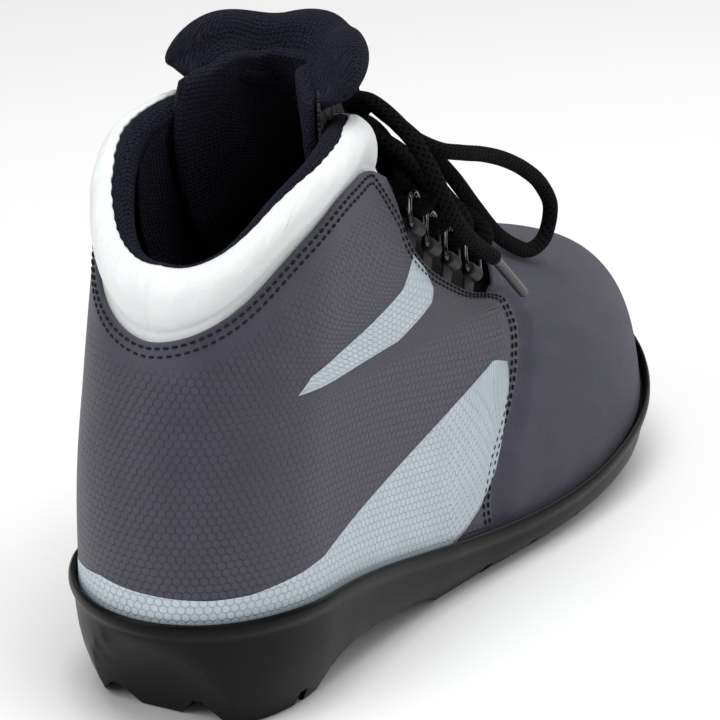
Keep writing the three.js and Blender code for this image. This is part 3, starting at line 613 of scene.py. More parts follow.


# %% [markdown]
# The quarter is a coated synthetic: slate, slightly purple, with a honeycomb pressed in.
# Close to its sewn edges the coating is drawn into fine pleats, and the edge itself is
# pressed flat, so the cells fade there. The printed shapes share the same relief.
# On both, the pressed cell lines are also darkened with painted shade.

# %% Quarter and print
def honeycomb_skin(name, valley, crest, roughness, line_depth, sewn=True):
    material, tree, shader = start(name, roughness, Sheen_Weight=0.05, Sheen_Roughness=0.5)
    cloth = cloth_map(tree)
    cells = use(tree, cell_group, Vector=cloth, Pitch=0.00235, Line=0.11)
    grain = use(tree, grain_group, Vector=cloth, Size=0.0005)
    edges = put(tree, "ShaderNodeSeparateXYZ", {0: cloth_map(tree, "edges")}).outputs
    edge = calc(tree, "MINIMUM", edges[0], edges[1])
    inside = put(tree, "ShaderNodeMapRange", {0: edge, 1: 0.006, 2: 0.012}).outputs[0] if sewn else 1.0
    relief = calc(tree, "MULTIPLY", cells["Line"], inside)
    pleats = wave(tree, put(tree, "ShaderNodeSeparateXYZ", {0: cloth}).outputs[1], 0.0016)
    near = put(tree, "ShaderNodeMapRange", {0: edges[0], 1: 0.006, 2: 0.024, 3: 1.0, 4: 0.0}).outputs[0]
    pressed = calc(tree, "MULTIPLY", calc(tree, "MULTIPLY", pleats, near), inside)
    height = calc(tree, "MULTIPLY_ADD", relief, -line_depth, calc(tree, "MULTIPLY", grain["Height"], 0.35))
    height = calc(tree, "MULTIPLY_ADD", pressed, 0.22, height)
    bump_into(tree, shader, height, 0.0004)
    # random tone from the grain, plus painted shade that darkens the pressed cell lines towards the valley
    # colour
    tone_and_line_shade = calc(tree, "MULTIPLY_ADD", grain["Shade"], 0.6, calc(tree, "MULTIPLY", relief, -0.5))
    colour_into(tree, shader, tone_and_line_shade, paint(valley), paint(crest))
    rough_into(tree, shader, grain["Shade"], roughness - 0.08, roughness + 0.1)
    return material


slate_synthetic = honeycomb_skin("slate_synthetic", "2f2e3a", "4f4d5e", 0.5, 0.6)
pale_print = honeycomb_skin("pale_print", "b4c1c9", "dbe6ec", 0.5, 0.55, sewn=False)

# %% Softshell of the vamp
slate_softshell, tree, shader = start(
    "slate_softshell", 0.85, Sheen_Weight=0.12, Sheen_Roughness=0.4, Specular_IOR_Level=0.3
)
cloth = cloth_map(tree)
speckle = use(tree, grain_group, Vector=cloth, Size=0.00045)
threads = use(tree, weave_group, Vector=cloth, Pitch=0.0005)
high = calc(tree, "MULTIPLY_ADD", threads["Height"], 0.3, speckle["Height"])
bump_into(tree, shader, high, 0.00018)
flecks = put(tree, "ShaderNodeMapRange", {0: speckle["Height"], 1: 0.35, 2: 0.68}).outputs[0]
shade = calc(tree, "MULTIPLY_ADD", speckle["Shade"], 0.5, calc(tree, "MULTIPLY", flecks, 0.5))
colour_into(tree, shader, shade, paint("32323d"), paint("565563"))

# %% [markdown]
# The collar's cover is a soft white synthetic over foam. It is smooth, with a fine grain and faint creases.

# %% White collar
pale_synthetic, tree, shader = start("pale_synthetic", 0.55, Subsurface_Weight=0.08, Coat_Weight=0.05)
shader.inputs["Subsurface Radius"].default_value = (0.004, 0.004, 0.004)
cloth = cloth_map(tree)
grain = use(tree, grain_group, Vector=cloth, Size=0.0006)
creases = put(tree, "ShaderNodeTexNoise", {"Vector": cloth, "Scale": 90.0, "Detail": 3.0, "Distortion": 0.6})
high = calc(tree, "MULTIPLY_ADD", creases.outputs["Fac"], 2.2, calc(tree, "MULTIPLY", grain["Height"], 0.25))
bump_into(tree, shader, high, 0.00035)
colour_into(tree, shader, grain["Shade"], paint("d9dddd"), paint("f1f4f4"))
rough_into(tree, shader, grain["Height"], 0.48, 0.62)

# %% Brushed knit
fleece, tree, shader = start("fleece", 0.95, Sheen_Weight=0.1, Sheen_Roughness=0.35)
shader.inputs["Sheen Tint"].default_value = paint("8d90a8")
shader.inputs["Specular IOR Level"].default_value = 0.08
cloth = cloth_map(tree)
knit = use(tree, knit_group, Vector=cloth, Pitch=0.0014)
bump_into(tree, shader, knit["Height"], 0.0007)
light_ends = put(tree, "ShaderNodeMapRange", {0: knit["Fuzz"], 1: 0.42, 2: 0.75}).outputs[0]
colour_into(tree, shader, light_ends, paint("0a0a10"), paint("38384a"))

# %% Woven tongue cloth
ballistic_cloth, tree, shader = start("ballistic_cloth", 0.62, Sheen_Weight=0.05, Specular_IOR_Level=0.25)
cloth = cloth_map(tree)
threads = use(tree, weave_group, Vector=cloth, Pitch=0.00125)
fibres = use(tree, grain_group, Vector=cloth, Size=0.0002)
high = calc(tree, "MULTIPLY_ADD", fibres["Height"], 0.3, threads["Height"])
bump_into(tree, shader, high, 0.0006)
shade = calc(tree, "MULTIPLY_ADD", threads["Over"], 0.35, calc(tree, "MULTIPLY", threads["Height"], 0.5))
colour_into(tree, shader, shade, paint("09090b"), paint("2b2930"))

# %% Braided lace
braided_lace, tree, shader = start("braided_lace", 0.9, Specular_IOR_Level=0.06)
cloth = cloth_map(tree)
braid = use(tree, braid_group, Vector=cloth, Along=0.0023, Around=0.0138 / 6)
bump_into(tree, shader, braid["Height"], 0.0005)
# the gaps between the braid's bundles are painted darker as painted shade
colour_into(tree, shader, braid["Gap"], paint("131316"), paint("050506"))

# %% Thread and aglet
thread_finish, tree, shader = start("thread_finish", 0.7, Sheen_Weight=0.05, Specular_IOR_Level=0.2)
twist = wave(tree, put(tree, "ShaderNodeSeparateXYZ", {0: object_place(tree)}).outputs[2], 0.0006)
bump_into(tree, shader, twist, 0.00012)
colour_into(tree, shader, calc(tree, "MULTIPLY_ADD", twist, 0.5, 0.5), paint("08080a"), paint("17171b"))

aglet_plastic, tree, shader = start("aglet_plastic", 0.3, Coat_Weight=0.3)
cloth = cloth_map(tree)
ribs = wave(tree, put(tree, "ShaderNodeSeparateXYZ", {0: cloth}).outputs[0], 0.0011)
grain = use(tree, grain_group, Vector=cloth, Size=0.0004)
bump_into(tree, shader, calc(tree, "MULTIPLY_ADD", grain["Height"], 0.3, ribs), 0.00016)
colour_into(tree, shader, grain["Shade"], paint("101013"), paint("2a2a30"))

# %% [markdown]
# The sole is moulded in black plastic rubber with a satin finish whose tone and roughness vary a little from
# place to place.

# %% Sole, tabs and rings
def moulded(name, dark, light, roughness, grain_size, relief, **shader_values):
    material, tree, shader = start(name, roughness, **shader_values)
    place = object_place(tree)
    grain = use(tree, grain_group, Vector=place, Size=grain_size)
    bump_into(tree, shader, grain["Height"], relief)
    colour_into(tree, shader, grain["Shade"], paint(dark), paint(light))
    rough_into(tree, shader, grain["Shade"], roughness - 0.07, roughness + 0.12)
    return material


black_sole = moulded("black_sole", "020203", "070709", 0.36, 0.0005, 0.00006, Specular_IOR_Level=0.14)
tab_plastic = moulded("tab_plastic", "121215", "24242a", 0.5, 0.0004, 0.00008, Specular_IOR_Level=0.4)
black_enamel = moulded("black_enamel", "050506", "0c0c0e", 0.14, 0.0012, 0.00002, Coat_Weight=0.6)
fibre_board = moulded("fibre_board", "6f634f", "a2947a", 0.85, 0.0007, 0.0002)
stiffener_sheet = moulded("stiffener_sheet", "a9a698", "c4c1b4", 0.6, 0.0006, 0.0001)


def metal(name, dark, light, roughness):
    material, tree, shader = start(name, roughness, metallic=1.0)
    place = object_place(tree)
    stretched = calc_vector(tree, "MULTIPLY", place, (1.0, 0.06, 1.0))
    grain = use(tree, grain_group, Vector=stretched, Size=0.0003)
    bump_into(tree, shader, grain["Height"], 0.00003)
    colour_into(tree, shader, grain["Shade"], paint(dark), paint(light))
    rough_into(tree, shader, grain["Height"], roughness, roughness + 0.2)
    return material


polished_steel = metal("polished_steel", "9a9da1", "cfd2d6", 0.18)
spring_steel = metal("spring_steel", "7c7f83", "a0a3a7", 0.35)
print("materials:", len(bpy.data.materials))

# %% [markdown]
# The lace is one round braided cord. Its free ends and loops lie in fixed curves,
# so they come first: a loop on each side of the knot and an end with a plastic tip.
# Every route repeats the points of the model's own solids.

# %% Free loops and ends
LACE_RADIUS = 0.0022
AGLET_RADIUS = 0.0015


def route(points):
    return [Vector(p) * MM + STAND for p in points]


BOW_OUTER = route([
    (120, -8.5, 139), (118.5, -15, 136.5), (119.5, -21, 131.5), (125, -26, 127), (137, -27.5, 122.5),
    (150, -27.5, 118), (163, -27.5, 112.5), (176, -27.5, 105.5), (187, -27.5, 97.5), (193.5, -27.5, 88.5),
    (191, -27, 80.5), (183, -26.5, 79), (173, -26, 83.5), (162, -25.5, 91), (151, -24, 102.5),
    (142, -22.5, 112.8), (134, -20, 121.5), (128, -16, 129), (124, -9, 136),
])
BOW_INNER = route([
    (120, 9.8, 139), (121, 15, 136), (126, 21.5, 129), (134, 26, 119.5), (144, 28.5, 108.5), (154, 29, 98),
    (163, 27, 90), (170, 21.5, 90), (169.5, 14.5, 95), (162, 11.5, 103), (153, 11, 112), (143, 11, 121),
    (133, 10.5, 129), (124, 10.5, 136),
])
END_OUTER = route([
    (113.5, -7, 142), (110, -14, 143), (107, -22, 140.5), (105, -30, 135), (104, -36, 127.5),
    (106, -39, 119), (112, -40, 111), (121, -40, 103.5), (132, -40, 96),
])
END_INNER = route([
    (113.5, 7, 142), (110, 14, 143), (107, 22, 140.5), (105.5, 30, 135), (106.5, 36.5, 127),
    (111, 40, 118), (118, 41, 109), (126, 41, 100),
])
AGLET_OUTER = route([(132.4, -40, 95.7), (150, -41, 79)])
AGLET_INNER = route([(126.3, 41, 99.6), (140, 42, 80)])


def aglet(name, points):
    """A moulded tip: a short collar, a ribbed sleeve and a rounded point."""
    path = smooth_path(points, 60)

    def swell(share):
        collar = 0.12 * (1 - smooth(share, 0.06, 0.12))
        point = math.sqrt(max(0.02, 1 - clamp((share - 0.9) / 0.1) ** 2))
        return (0.96 + collar) * point

    piece = strand(name + "_tip", path, AGLET_RADIUS, 20, aglet_plastic, swell=swell)
    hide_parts(name)
    return piece


cord_facts = [
    ("bow_loop_outer", BOW_OUTER, 170, None),
    ("bow_loop_inner", BOW_INNER, 130, None),
    ("lace_end_outer", END_OUTER, 90, aglet("aglet_outer", AGLET_OUTER)),
    ("lace_end_inner", END_INNER, 80, aglet("aglet_inner", AGLET_INNER)),
]
for name, points, steps, tip in cord_facts:
    path = smooth_path(points, steps)
    cord = strand(name + "_cord", path, LACE_RADIUS, 20, braided_lace)
    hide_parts(name)
    path_length(path)
    print(name, "length", round(path_length(path) * 1000), "mm")

# %% [markdown]
# The lace turns round the far wire of each ring. A ring's frame has its bar on the
# eyestay, one direction over the foot, one outwards and one along the edge.

# %% Ring frames
RING_HEIGHTS = (0.54, 0.583, 0.624, 0.664)
RING_BEYOND_EDGE = 5.8
RING_TILT = -0.08
RING_REACH = 9.5
RING_WIDTH = 8.2
WIRE_RADIUS = 1.0
LACE_TURN = 1.4


def edge_point(side, height):
    return last(side * through(QUARTER_EDGE, height), height)


def ring_frame(side, height):
    angle = side * through(QUARTER_EDGE, height)
    along = (edge_point(side, RING_HEIGHTS[-1]) - edge_point(side, RING_HEIGHTS[0])).normalized()
    out = outward(angle, height)
    over = out.cross(along).normalized()
    if over.dot(last(angle * 0.8, height) - last(angle, height)) < 0:
        over.negate()
    edge = over.cross(out).normalized()
    return last(angle, height) + over * RING_BEYOND_EDGE, over, out, edge


def in_frame(ring, over, out, edge=0.0):
    """A point so far over the foot, outwards and along the edge, in millimetres of the form."""
    bar, over_way, out_way, edge_way = ring
    return bar + over_way * over + out_way * out + edge_way * edge


rings = {
    name: [ring_frame(side, height) for height in RING_HEIGHTS]
    for name, side in (("outer", -1), ("inner", 1))
}
print("first ring's bar", [round(x, 1) for x in rings["outer"][0][0]])

# %% The tied lace
LACE = LACE_RADIUS / MM
LACE_LOW = 7 - LACE - 0.9
LACE_HIGH = LACE_LOW - 2 * LACE - 0.6
CROSSINGS = (0.672, 0.7, 0.726)
KNOT_HEIGHT = 0.765


def deep(angle, height, depth):
    return last(angle, height) - outward(angle, height) * depth


def turn_round(ring):
    """The lace goes over a ring's far wire, through its opening and back under it."""
    over_way, out_way, edge_way = ring[1:]
    reach = (over_way + out_way * RING_TILT).normalized()
    lift = edge_way.cross(reach).normalized()
    if lift.dot(out_way) < 0:
        lift.negate()
    wire = in_frame(ring, RING_REACH, RING_REACH * RING_TILT)
    radius = WIRE_RADIUS + LACE_TURN + LACE
    turns = [math.pi * share for share in (-0.25, 0, 0.25, 0.5, 0.75, 1, 1.25)]
    return [wire + lift * (radius * math.cos(t)) - reach * (radius * math.sin(t)) for t in turns]


near = [turn_round(ring) for ring in rings["outer"]]
far = [turn_round(ring) for ring in rings["inner"]]
lace_points = [deep(-0.3, KNOT_HEIGHT - 0.008, 3)]
for i in reversed(range(4)):
    lace_points += near[i]
    lace_points.append(deep(0, CROSSINGS[i - 1], LACE_HIGH) if i > 0 else deep(0, 0.64, LACE_LOW))
    near, far = far, near
for i in range(4):
    lace_points += reversed(near[i])
    if i < 3:
        lace_points.append(deep(0, CROSSINGS[i], LACE_LOW))
    near, far = far, near
lace_points.append(deep(0.3, KNOT_HEIGHT - 0.008, 3))
tied = smooth_path([p * MM + STAND for p in lace_points], 760)
tied_lace = strand("tied_lace", tied, LACE_RADIUS, 18, braided_lace)
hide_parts("lace")
print("lace held by the rings", round(path_length(tied) * 1000), "mm")

# %% [markdown]
# The knot is a band of lace wound over the roots of the loops. A soft core keeps
# it full, and the band's two turns lie side by side.

# %% The knot
knot_middle = deep(0, KNOT_HEIGHT, 0.5) * MM + STAND
knot_out = outward(0, KNOT_HEIGHT)
knot_up = (last(0, KNOT_HEIGHT + 0.02) - last(0, KNOT_HEIGHT - 0.02)).normalized()
knot_side = knot_up.cross(knot_out).normalized()
band = []
for k in range(49):
    turn = 2 * math.pi * 2 * k / 48
    shift = mix(-0.0024, 0.0024, k / 48)
    band.append(
        knot_middle + knot_side * shift + knot_out * (0.0031 * math.cos(turn))
        + knot_up * (0.0036 * math.sin(turn))
    )
knot_band = strand("knot_band", smooth_path(band, 150), 0.0021, 18, braided_lace)
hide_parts("lace_knot")
roots = [
    knot_middle + knot_side * y + knot_out * (0.0004 - abs(y) * 0.08)
    for y in (-0.0085, -0.004, 0, 0.004, 0.0085)
]
strand("knot_core", smooth_path(roots, 40), 0.0029, 18, braided_lace)

# %% [markdown]
# Each ring is bent wire with a straight bar, enamelled black. Its bar lies in the
# rolled end of a moulded tab, whose tail runs under the eyestay.

# %% Rings and tabs
TAB_WIDTH = 5.4
TAB_ROLL = 2.15  # radius of the rolled end


def ring_wire(name, ring):
    half = RING_WIDTH / 2
    outline = [
        (0, -half * 0.8), (0, 0), (0, half * 0.8), (1.2, half * 0.98), (4, half), (7.2, half * 0.8),
        (RING_REACH, half * 0.3), (RING_REACH, -half * 0.3), (7.2, -half * 0.8), (4, -half), (1.2, -half * 0.98),
    ]
    points = [in_frame(ring, over, over * RING_TILT, edge) * MM + STAND for over, edge in outline]
    wire = strand(name + "_wire", smooth_path(points, 90, loop=True), WIRE_RADIUS * MM, 14, black_enamel,
                  body=name, loop=True)
    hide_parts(name)


def tab(name, ring):
    """A flat tail and a rolled end, both with rounded edges."""
    bm = bmesh.new()
    bmesh.ops.create_cube(bm, size=1)
    bmesh.ops.scale(bm, vec=(13.0, 1.0, TAB_WIDTH), verts=bm.verts[:])
    bmesh.ops.translate(bm, vec=(-6.5, 0, 0), verts=bm.verts[:])
    low = 1.9
    for vert in bm.verts:
        vert.co.y += mix(-low, -0.9, smooth(vert.co.x, -9, -0.5))
    bmesh.ops.create_cone(
        bm, cap_ends=True, segments=28, radius1=TAB_ROLL, radius2=TAB_ROLL, depth=TAB_WIDTH
    )
    rims = [e for e in bm.edges if e.calc_face_angle(0) > 0.9]
    bmesh.ops.bevel(bm, geom=rims, offset=0.42, segments=4, profile=0.5, affect="EDGES", material=-1)
    bar, over, out, edge = ring
    place = Matrix((over, out, edge)).transposed().to_4x4()
    bmesh.ops.transform(bm, matrix=place, verts=bm.verts[:])
    bmesh.ops.translate(bm, vec=bar, verts=bm.verts[:])
    bmesh.ops.scale(bm, vec=(MM, MM, MM), verts=bm.verts[:])
    bmesh.ops.translate(bm, vec=STAND, verts=bm.verts[:])
    bmesh.ops.recalc_face_normals(bm, faces=bm.faces[:])
    piece = finish_mesh(name + "_moulded", bm, tab_plastic, "boot")
    piece.data.set_sharp_from_angle(angle=math.radians(40))
    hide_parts(name)


for name, frames_of_side in rings.items():
    for i, ring in enumerate(frames_of_side):
        ring_wire(f"lace_ring_{name}_{i + 1}", ring)
        tab(f"ring_tab_{name}_{i + 1}", ring)

# %% [markdown]
# The quarter is one piece of coated cloth that runs from the outer eyestay round the
# heel to the inner one. Its edges are turned and pressed, so the sheet gets a small bevel.

# %% Quarter
LINING_DEPTH = 3.9
LINING_WALL = 1.2


def quarter_place(across, up, depth=0.0, low=0.0, trim=0.0, drop=0.0):
    end_angle = from_toe(around_heel(across, quarter_edge(1)))
    height = mix(low, collar_low(end_angle) - drop, up)
    angle = around_heel(across, quarter_edge(height) + trim)
    return skin(angle, height, depth)


def pressed_edge(across, up):
    """The cloth dips a little towards its sewn edges."""
    side = min(across, 1 - across) * 290
    top = (1 - up) * 100
    press = 0.3 * (1 - smooth(min(side, top), 0, 6.5))
    return quarter_place(across, up, press)


quarter = sheet("quarter_cloth", 210, 84, pressed_edge, slate_synthetic, 0.0011, bevel=0.0003)
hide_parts("quarter")
lining = sheet(
    "quarter_fleece", 90, 36,
    lambda across, up: quarter_place(across, up, LINING_DEPTH, 0.03, 0.05, 0.05),
    fleece, 0.0012,
)
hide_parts("quarter_lining")

# %% [markdown]
# The vamp is a smooth softshell stretched over the toes. It runs under the quarter's edge.

# %% Vamp
UNDER_QUARTER = 1.4


def vamp_place(across, up, depth=0.0, low=0.0, top=0.0, trim=0.07):
    share = 2 * across - 1
    height = mix(low, throat(share) - top, up)
    edge = quarter_edge(height)
    angle = share * (edge + trim)
    dip = UNDER_QUARTER * smooth(abs(angle) - edge, -0.09, -0.02) if trim > 0 else 0.0
    return skin(angle, height, depth + dip)


vamp = sheet("vamp_softshell", 170, 76, vamp_place, slate_softshell, 0.001, bevel=0.0003)
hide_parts("vamp")
vamp_fleece = sheet(
    "vamp_fleece", 60, 30,
    lambda across, up: vamp_place(across, up, LINING_DEPTH, 0.03, 0.03, -0.05),
    fleece, 0.0012,
)
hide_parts("vamp_lining")

# %% [markdown]
# Two pale shapes are printed on the quarter: a long sweep that rises from the heel,
# and a short band below the collar. Both are thin films with crisp outlines.

# %% Prints
SWEEP_TOP = [
    (-3.9, 0.012), (-3.61, 0.067), (-3.37, 0.087), (-3.05, 0.078), (-2.83, 0.071), (-2.67, 0.073),
    (-2.45, 0.09), (-2.33, 0.103), (-1.44, 0.343), (-1.40, 0.322),
]
SWEEP_LOW = [
    (-3.9, 0.0), (-1.73, 0.0), (-1.66, 0.03), (-1.61, 0.057), (-1.55, 0.11), (-1.48, 0.217),
    (-1.44, 0.263), (-1.40, 0.32),
]
BAND_TOP = [(-2.30, 0.551), (-2.19, 0.583), (-1.78, 0.607), (-1.49, 0.627), (-1.29, 0.66)]
BAND_LOW = [(-2.30, 0.55), (-2.07, 0.54), (-1.69, 0.54), (-1.41, 0.573), (-1.34, 0.593), (-1.29, 0.63)]


def print_shape(name, low, top, columns, rows):
    start_angle, end_angle = top[0][0], top[-1][0]

    def place(across, up):
        angle = mix(start_angle, end_angle, across)
        height = mix(through(low, angle), through(top, angle), up)
        return skin(angle, height, -0.14)

    return sheet(name, columns, rows, place, pale_print, 0.00012)


print_shape("band_print_outer", BAND_LOW, BAND_TOP, 90, 12)
print_shape("sweep_print", SWEEP_LOW, SWEEP_TOP, 220, 26)

# %% [markdown]
# Two rows of stitches follow the quarter's edge up the eyestay, along the collar and
# down the other side. One small bead is one stitch, laid along the seam's line.

# %% Stitches
def seam_line(inset):
    """Points so far inside the quarter's edge, in millimetres, from sole to sole."""
    line = []
    sides = []
    for side in (-1, 1):
        climb = []
        for k in range(60):
            height = mix(0.02, 0.7, k / 59)
            edge = quarter_edge(height)
            reach = (last(edge + 0.01, height) - last(edge - 0.01, height)).length / 0.02
            climb.append((side * (edge + inset / reach), height))
        sides.append(climb)
    start_angle = quarter_edge(0.72) + 0.08 + inset / 60
    top = []
    for k in range(121):
        angle = mix(-start_angle, -2 * math.pi + start_angle, k / 120)
        around = from_toe(-angle)
        height = collar_low(around)
        rise = (last(angle, height + 0.01) - last(angle, height - 0.01)).length / 0.02
        top.append((angle, height - inset / rise))
    line += sides[0] + top
    line += [(angle - 2 * math.pi, height) for angle, height in reversed(sides[1])]
    return line


def stitch_row(name, inset, pitch=2.4, length=1.9, stand=0.12):
    places = seam_line(inset)
    on_skin = [skin(angle, height, 0.12 - stand) for angle, height in places]
    path = smooth_path(on_skin, round(path_length(on_skin) * 1000 / pitch) * 2)
    bm = bmesh.new()
    for i in range(1, len(path) - 1, 2):
        along = (path[i + 1] - path[i - 1]).normalized()
        out = (path[i] - foot_middle(path[i])).normalized()
        side = along.cross(out).normalized()
        turn = Matrix((along, side, side.cross(along))).transposed().to_4x4()
        size = Matrix.Diagonal((length / 2 * MM, 0.42 * MM, 0.34 * MM, 1))
        bmesh.ops.create_uvsphere(
            bm, u_segments=6, v_segments=4, radius=1, matrix=Matrix.Translation(path[i]) @ turn @ size
        )
    finish_mesh(name, bm, thread_finish, "boot")


stitch_row("stitches_edge", 1.7)
stitch_row("stitches_inner", 4.0)

# %% [markdown]
# The collar is foam between a white outer cover and a knit lining that rolls over the rim.
# The cover swells out above the quarter, and its seam with the knit gathers it into
# small puckers. Its front ends turn in towards the tongue.

# %% Collar
COLLAR_STEP = 0.15
COLLAR_ROUND = 230  # millimetres round the collar
COLLAR_BULGE = 2.4


def rounded_end(share):
    """From 0 at a piece's end to 1 where its full section starts, as a quarter circle."""
    return math.sqrt(clamp(1 - (1 - clamp(share)) ** 2))


def cover_depth(up):
    swell = 0.0
    if COLLAR_STEP < up < 1:
        swell = math.sin(math.pi * (up - COLLAR_STEP) / (1 - COLLAR_STEP)) ** 0.8
    return mix(UNDER_QUARTER + 0.3, 1, clamp(up)) - (COLLAR_BULGE + 1) * swell


def collar_place(across, up, depth):
    angle = around_heel(across, COLLAR_FRONT)
    low = collar_low(from_toe(angle))
    return skin(angle, mix(low, collar_top(from_toe(angle)), up), depth)


def cover_place(across, row):
    up = mix(-0.12, 1.03, row)
    end = min(across, 1 - across) * COLLAR_ROUND
    turned = 4.5 * (1 - smooth(end, 0, 5.0))
    length = across * COLLAR_ROUND
    near_rim = smooth(up, 0.72, 0.95)
    pucker = 0.16 * near_rim * math.sin(length / 4.6 * 2 * math.pi + 1.5 * math.sin(length / 17))
    fold = noise.noise(Vector((length / 9, up * 2, 3.0))) * 0.5 * smooth(up, 0.3, 0.8)
    tuck = 1.6 * smooth(up, 0.97, 1.03)
    back = math.exp(-(((across - 0.5) * COLLAR_ROUND) / 1.1) ** 2)
    seam = 0.5 * back * smooth(up, 0.1, 0.2)
    return collar_place(across, up, cover_depth(up) + turned + pucker + fold + tuck + seam)


cover = sheet("collar_cover_skin", 300, 44, cover_place, pale_synthetic, 0.0011)
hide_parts("collar_cover")


def collar_roll_place(across, row):
    """Round the padded section: up the outside, over the rim and down the inside."""
    section = [
        (-0.12, 3.1), (0.3, 2.4), (0.7, 2.2), (0.92, 2.8), (1.02, 3.6), (1.07, 5.0), (1.05, 6.8),
        (0.95, 8.4), (0.78, 9.2), (0.5, 9.0), (0.2, 8.2), (-0.12, 7.5), (-0.12, 5.0), (-0.12, 3.1),
    ]
    place = row * (len(section) - 1)
    i = min(int(place), len(section) - 2)
    up = mix(section[i][0], section[i + 1][0], place - i)
    depth = mix(section[i][1], section[i + 1][1], place - i)
    end = min(across, 1 - across) * COLLAR_ROUND
    size = max(rounded_end(end / 4.5), 0.02)
    up = mix(0.45, up, size)
    depth = mix(5.0, depth, size)
    length = across * COLLAR_ROUND
    depth += 0.08 * math.sin(length / 6.1 * 2 * math.pi) * smooth(up, 0.8, 1.0) * size
    return collar_place(across, up, depth)


roll = closed("collar_fleece", 230, 52, collar_roll_place, fleece)
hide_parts("collar_lining", "collar_foam")
soften = roll.modifiers.new("soften", "SUBSURF")
soften.levels = soften.render_levels = 1

# %% [markdown]
# The tongue lies under the lace and stands up in front of the shin. Outside it is a
# tough woven cloth; inside and round its edges it is padded knit, and a thick roll
# of the same knit leans out over the top.

# %% Tongue form
TONGUE_EDGE = 1.45
TONGUE_LOW = 0.5
TONGUE_HIGH = 0.85
WING_HIGH = 0.935
TONGUE_DEPTH = LINING_DEPTH + LINING_WALL + 2.2
TONGUE_CREST = 7.0
COLLAR_CLEAR = 6.2 + 1.2 + 1.5


def tongue_top(angle):
    return mix(TONGUE_HIGH, WING_HIGH, smooth(abs(angle), 0.4, 1.1))


def tongue_depth(angle, height):
    side = abs(angle)
    lift = (1 - smooth(side, 0.5, 0.85)) * smooth(height, 0.6, 0.66)
    tuck = smooth(side, 0.74, 0.96) * smooth(height, 0.64, 0.72)
    return TONGUE_DEPTH - (TONGUE_DEPTH - TONGUE_CREST) * lift + (COLLAR_CLEAR - TONGUE_DEPTH) * tuck


def tongue_point(angle, height, depth):
    """Straight under the skin on the instep, and towards the leg's middle above it."""
    point = last(angle, height)
    wing = last(TONGUE_EDGE, height)
    leg = Vector((wing.x, last(0, height).y, point.z))
    inward = (leg - point).normalized()
    share = smooth(height, 0.68, 0.84)
    way = (outward(angle, height) * -1).lerp(inward, share).normalized()
    return (point + way * depth) * MM + STAND


PAD_FRONT = 1.25
PAD_BACK = 6.6


def tongue_shell_place(across, up):
    angle = mix(-1.43, 1.43, across)
    height = mix(TONGUE_LOW, tongue_top(angle) + 0.035, up)
    return tongue_point(angle, height, tongue_depth(angle, height))


def tongue_pad_place(across, row):
    """across climbs the tongue, row goes round its section."""
    turn = 2 * math.pi * row
    c, s = math.cos(turn), math.sin(turn)
    side = math.copysign(abs(c) ** 0.45, c)
    thick = math.copysign(abs(s) ** 0.7, s)
    angle = 1.52 * side
    height = mix(TONGUE_LOW, tongue_top(angle) + 0.05, across)
    end = rounded_end(min(across, 1 - across) / 0.04)
    middle = (PAD_FRONT + PAD_BACK) / 2
    half = (PAD_BACK - PAD_FRONT) / 2 * max(end, 0.05)
    wrap = 0.5 * smooth(abs(angle), 1.2, 1.36) * smooth(height, 0.66, 0.74)
    if thick > 0:
        wrap = 0.0
    return tongue_point(angle, height, tongue_depth(angle, height) + middle + half * thick - wrap)


shell = sheet("tongue_woven", 110, 90, tongue_shell_place, ballistic_cloth, 0.0008, body="tongue")
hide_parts("tongue_shell")
pad = closed("tongue_pad", 90, 90, tongue_pad_place, fleece, body="tongue")
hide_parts("tongue_foam", "tongue_lining")

# %% Tongue roll
ROLL_LOW = -0.05
ROLL_HIGH = 0.142
ROLL_WALL = 13.6
ROLL_FOOT = 11.8
ROLL_CROWN = 1.6


def tongue_roll_place(across, row):
    angle = mix(-1.42, 1.36, across)
    turn = 2 * math.pi * row
    c, s = math.cos(turn), math.sin(turn)
    end = min(across, 1 - across) * 2
    size = max(rounded_end(end / 0.2), 0.02)
    gather = 1 + 0.05 * noise.noise(Vector((across * 7, s, c)))
    middle = tongue_top(angle) + (ROLL_LOW + ROLL_HIGH) / 2
    height = middle + (ROLL_HIGH - ROLL_LOW) / 2 * math.copysign(abs(s) ** 0.85, s) * size
    slim = mix(1, 0.72, smooth(abs(angle), 1.0, TONGUE_EDGE))
    lean = mix(ROLL_FOOT, ROLL_CROWN, smooth(s, -0.85, 0.35))
    slim *= mix(0.42, 1, smooth(s, -0.95, -0.1))
    depth = lean - ROLL_WALL / 2 * math.copysign(abs(c) ** 0.9, c) * size * gather * slim
    return tongue_point(angle, height, depth)


bolster = closed("tongue_roll", 110, 48, tongue_roll_place, fleece, body="tongue")
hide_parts("tongue_bolster")
soften = bolster.modifiers.new("soften", "SUBSURF")
soften.levels = soften.render_levels = 1

# %% [markdown]
# A thin gusset on each side joins the tongue to the upper, so that snow stays out.

# %% Gussets
for name, side in (("outer", -1), ("inner", 1)):
    gusset = sheet(
        "gusset_cloth_" + name, 18, 30,
        lambda across, up, side=side: skin(side * mix(1.47, 1.82, across), mix(0.56, 0.88, up), 8.4),
        fleece, 0.0007,
    )
    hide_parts("gusset_" + name)

# %% [markdown]
# The sole is one moulding: a rolled rim round the upper, side walls that draw in to the
# ground, and a flat underside. A grid is bent into a closed shell whose rows go round
# the sole's section, and the grooves, slots and arch are then cut away with booleans.

# %% Sole blank
HEEL_FLAT = 18.5
UNDERCUT = [(0, 8), (0.05, 6), (0.13, 5.5), (0.3, 5), (0.6, 4), (0.85, 5), (1, 12)]
TOE_SPRING = [(0, 0), (0.82, 0), (0.92, 3), (1, 9)]
RIM = [(0.6, -0.4), (0.85, 0.9), (1.2, 2.1), (1.6, 2.75), (2.05, 2.9), (2.5, 2.5), (2.8, 1.5), (2.8, 0.3),
       (2.45, -0.8), (1.9, -1.5), (1.5, -2.3), (1.4, -3.0)]
WALL_STEPS = 6
FLAT_STEPS = 8


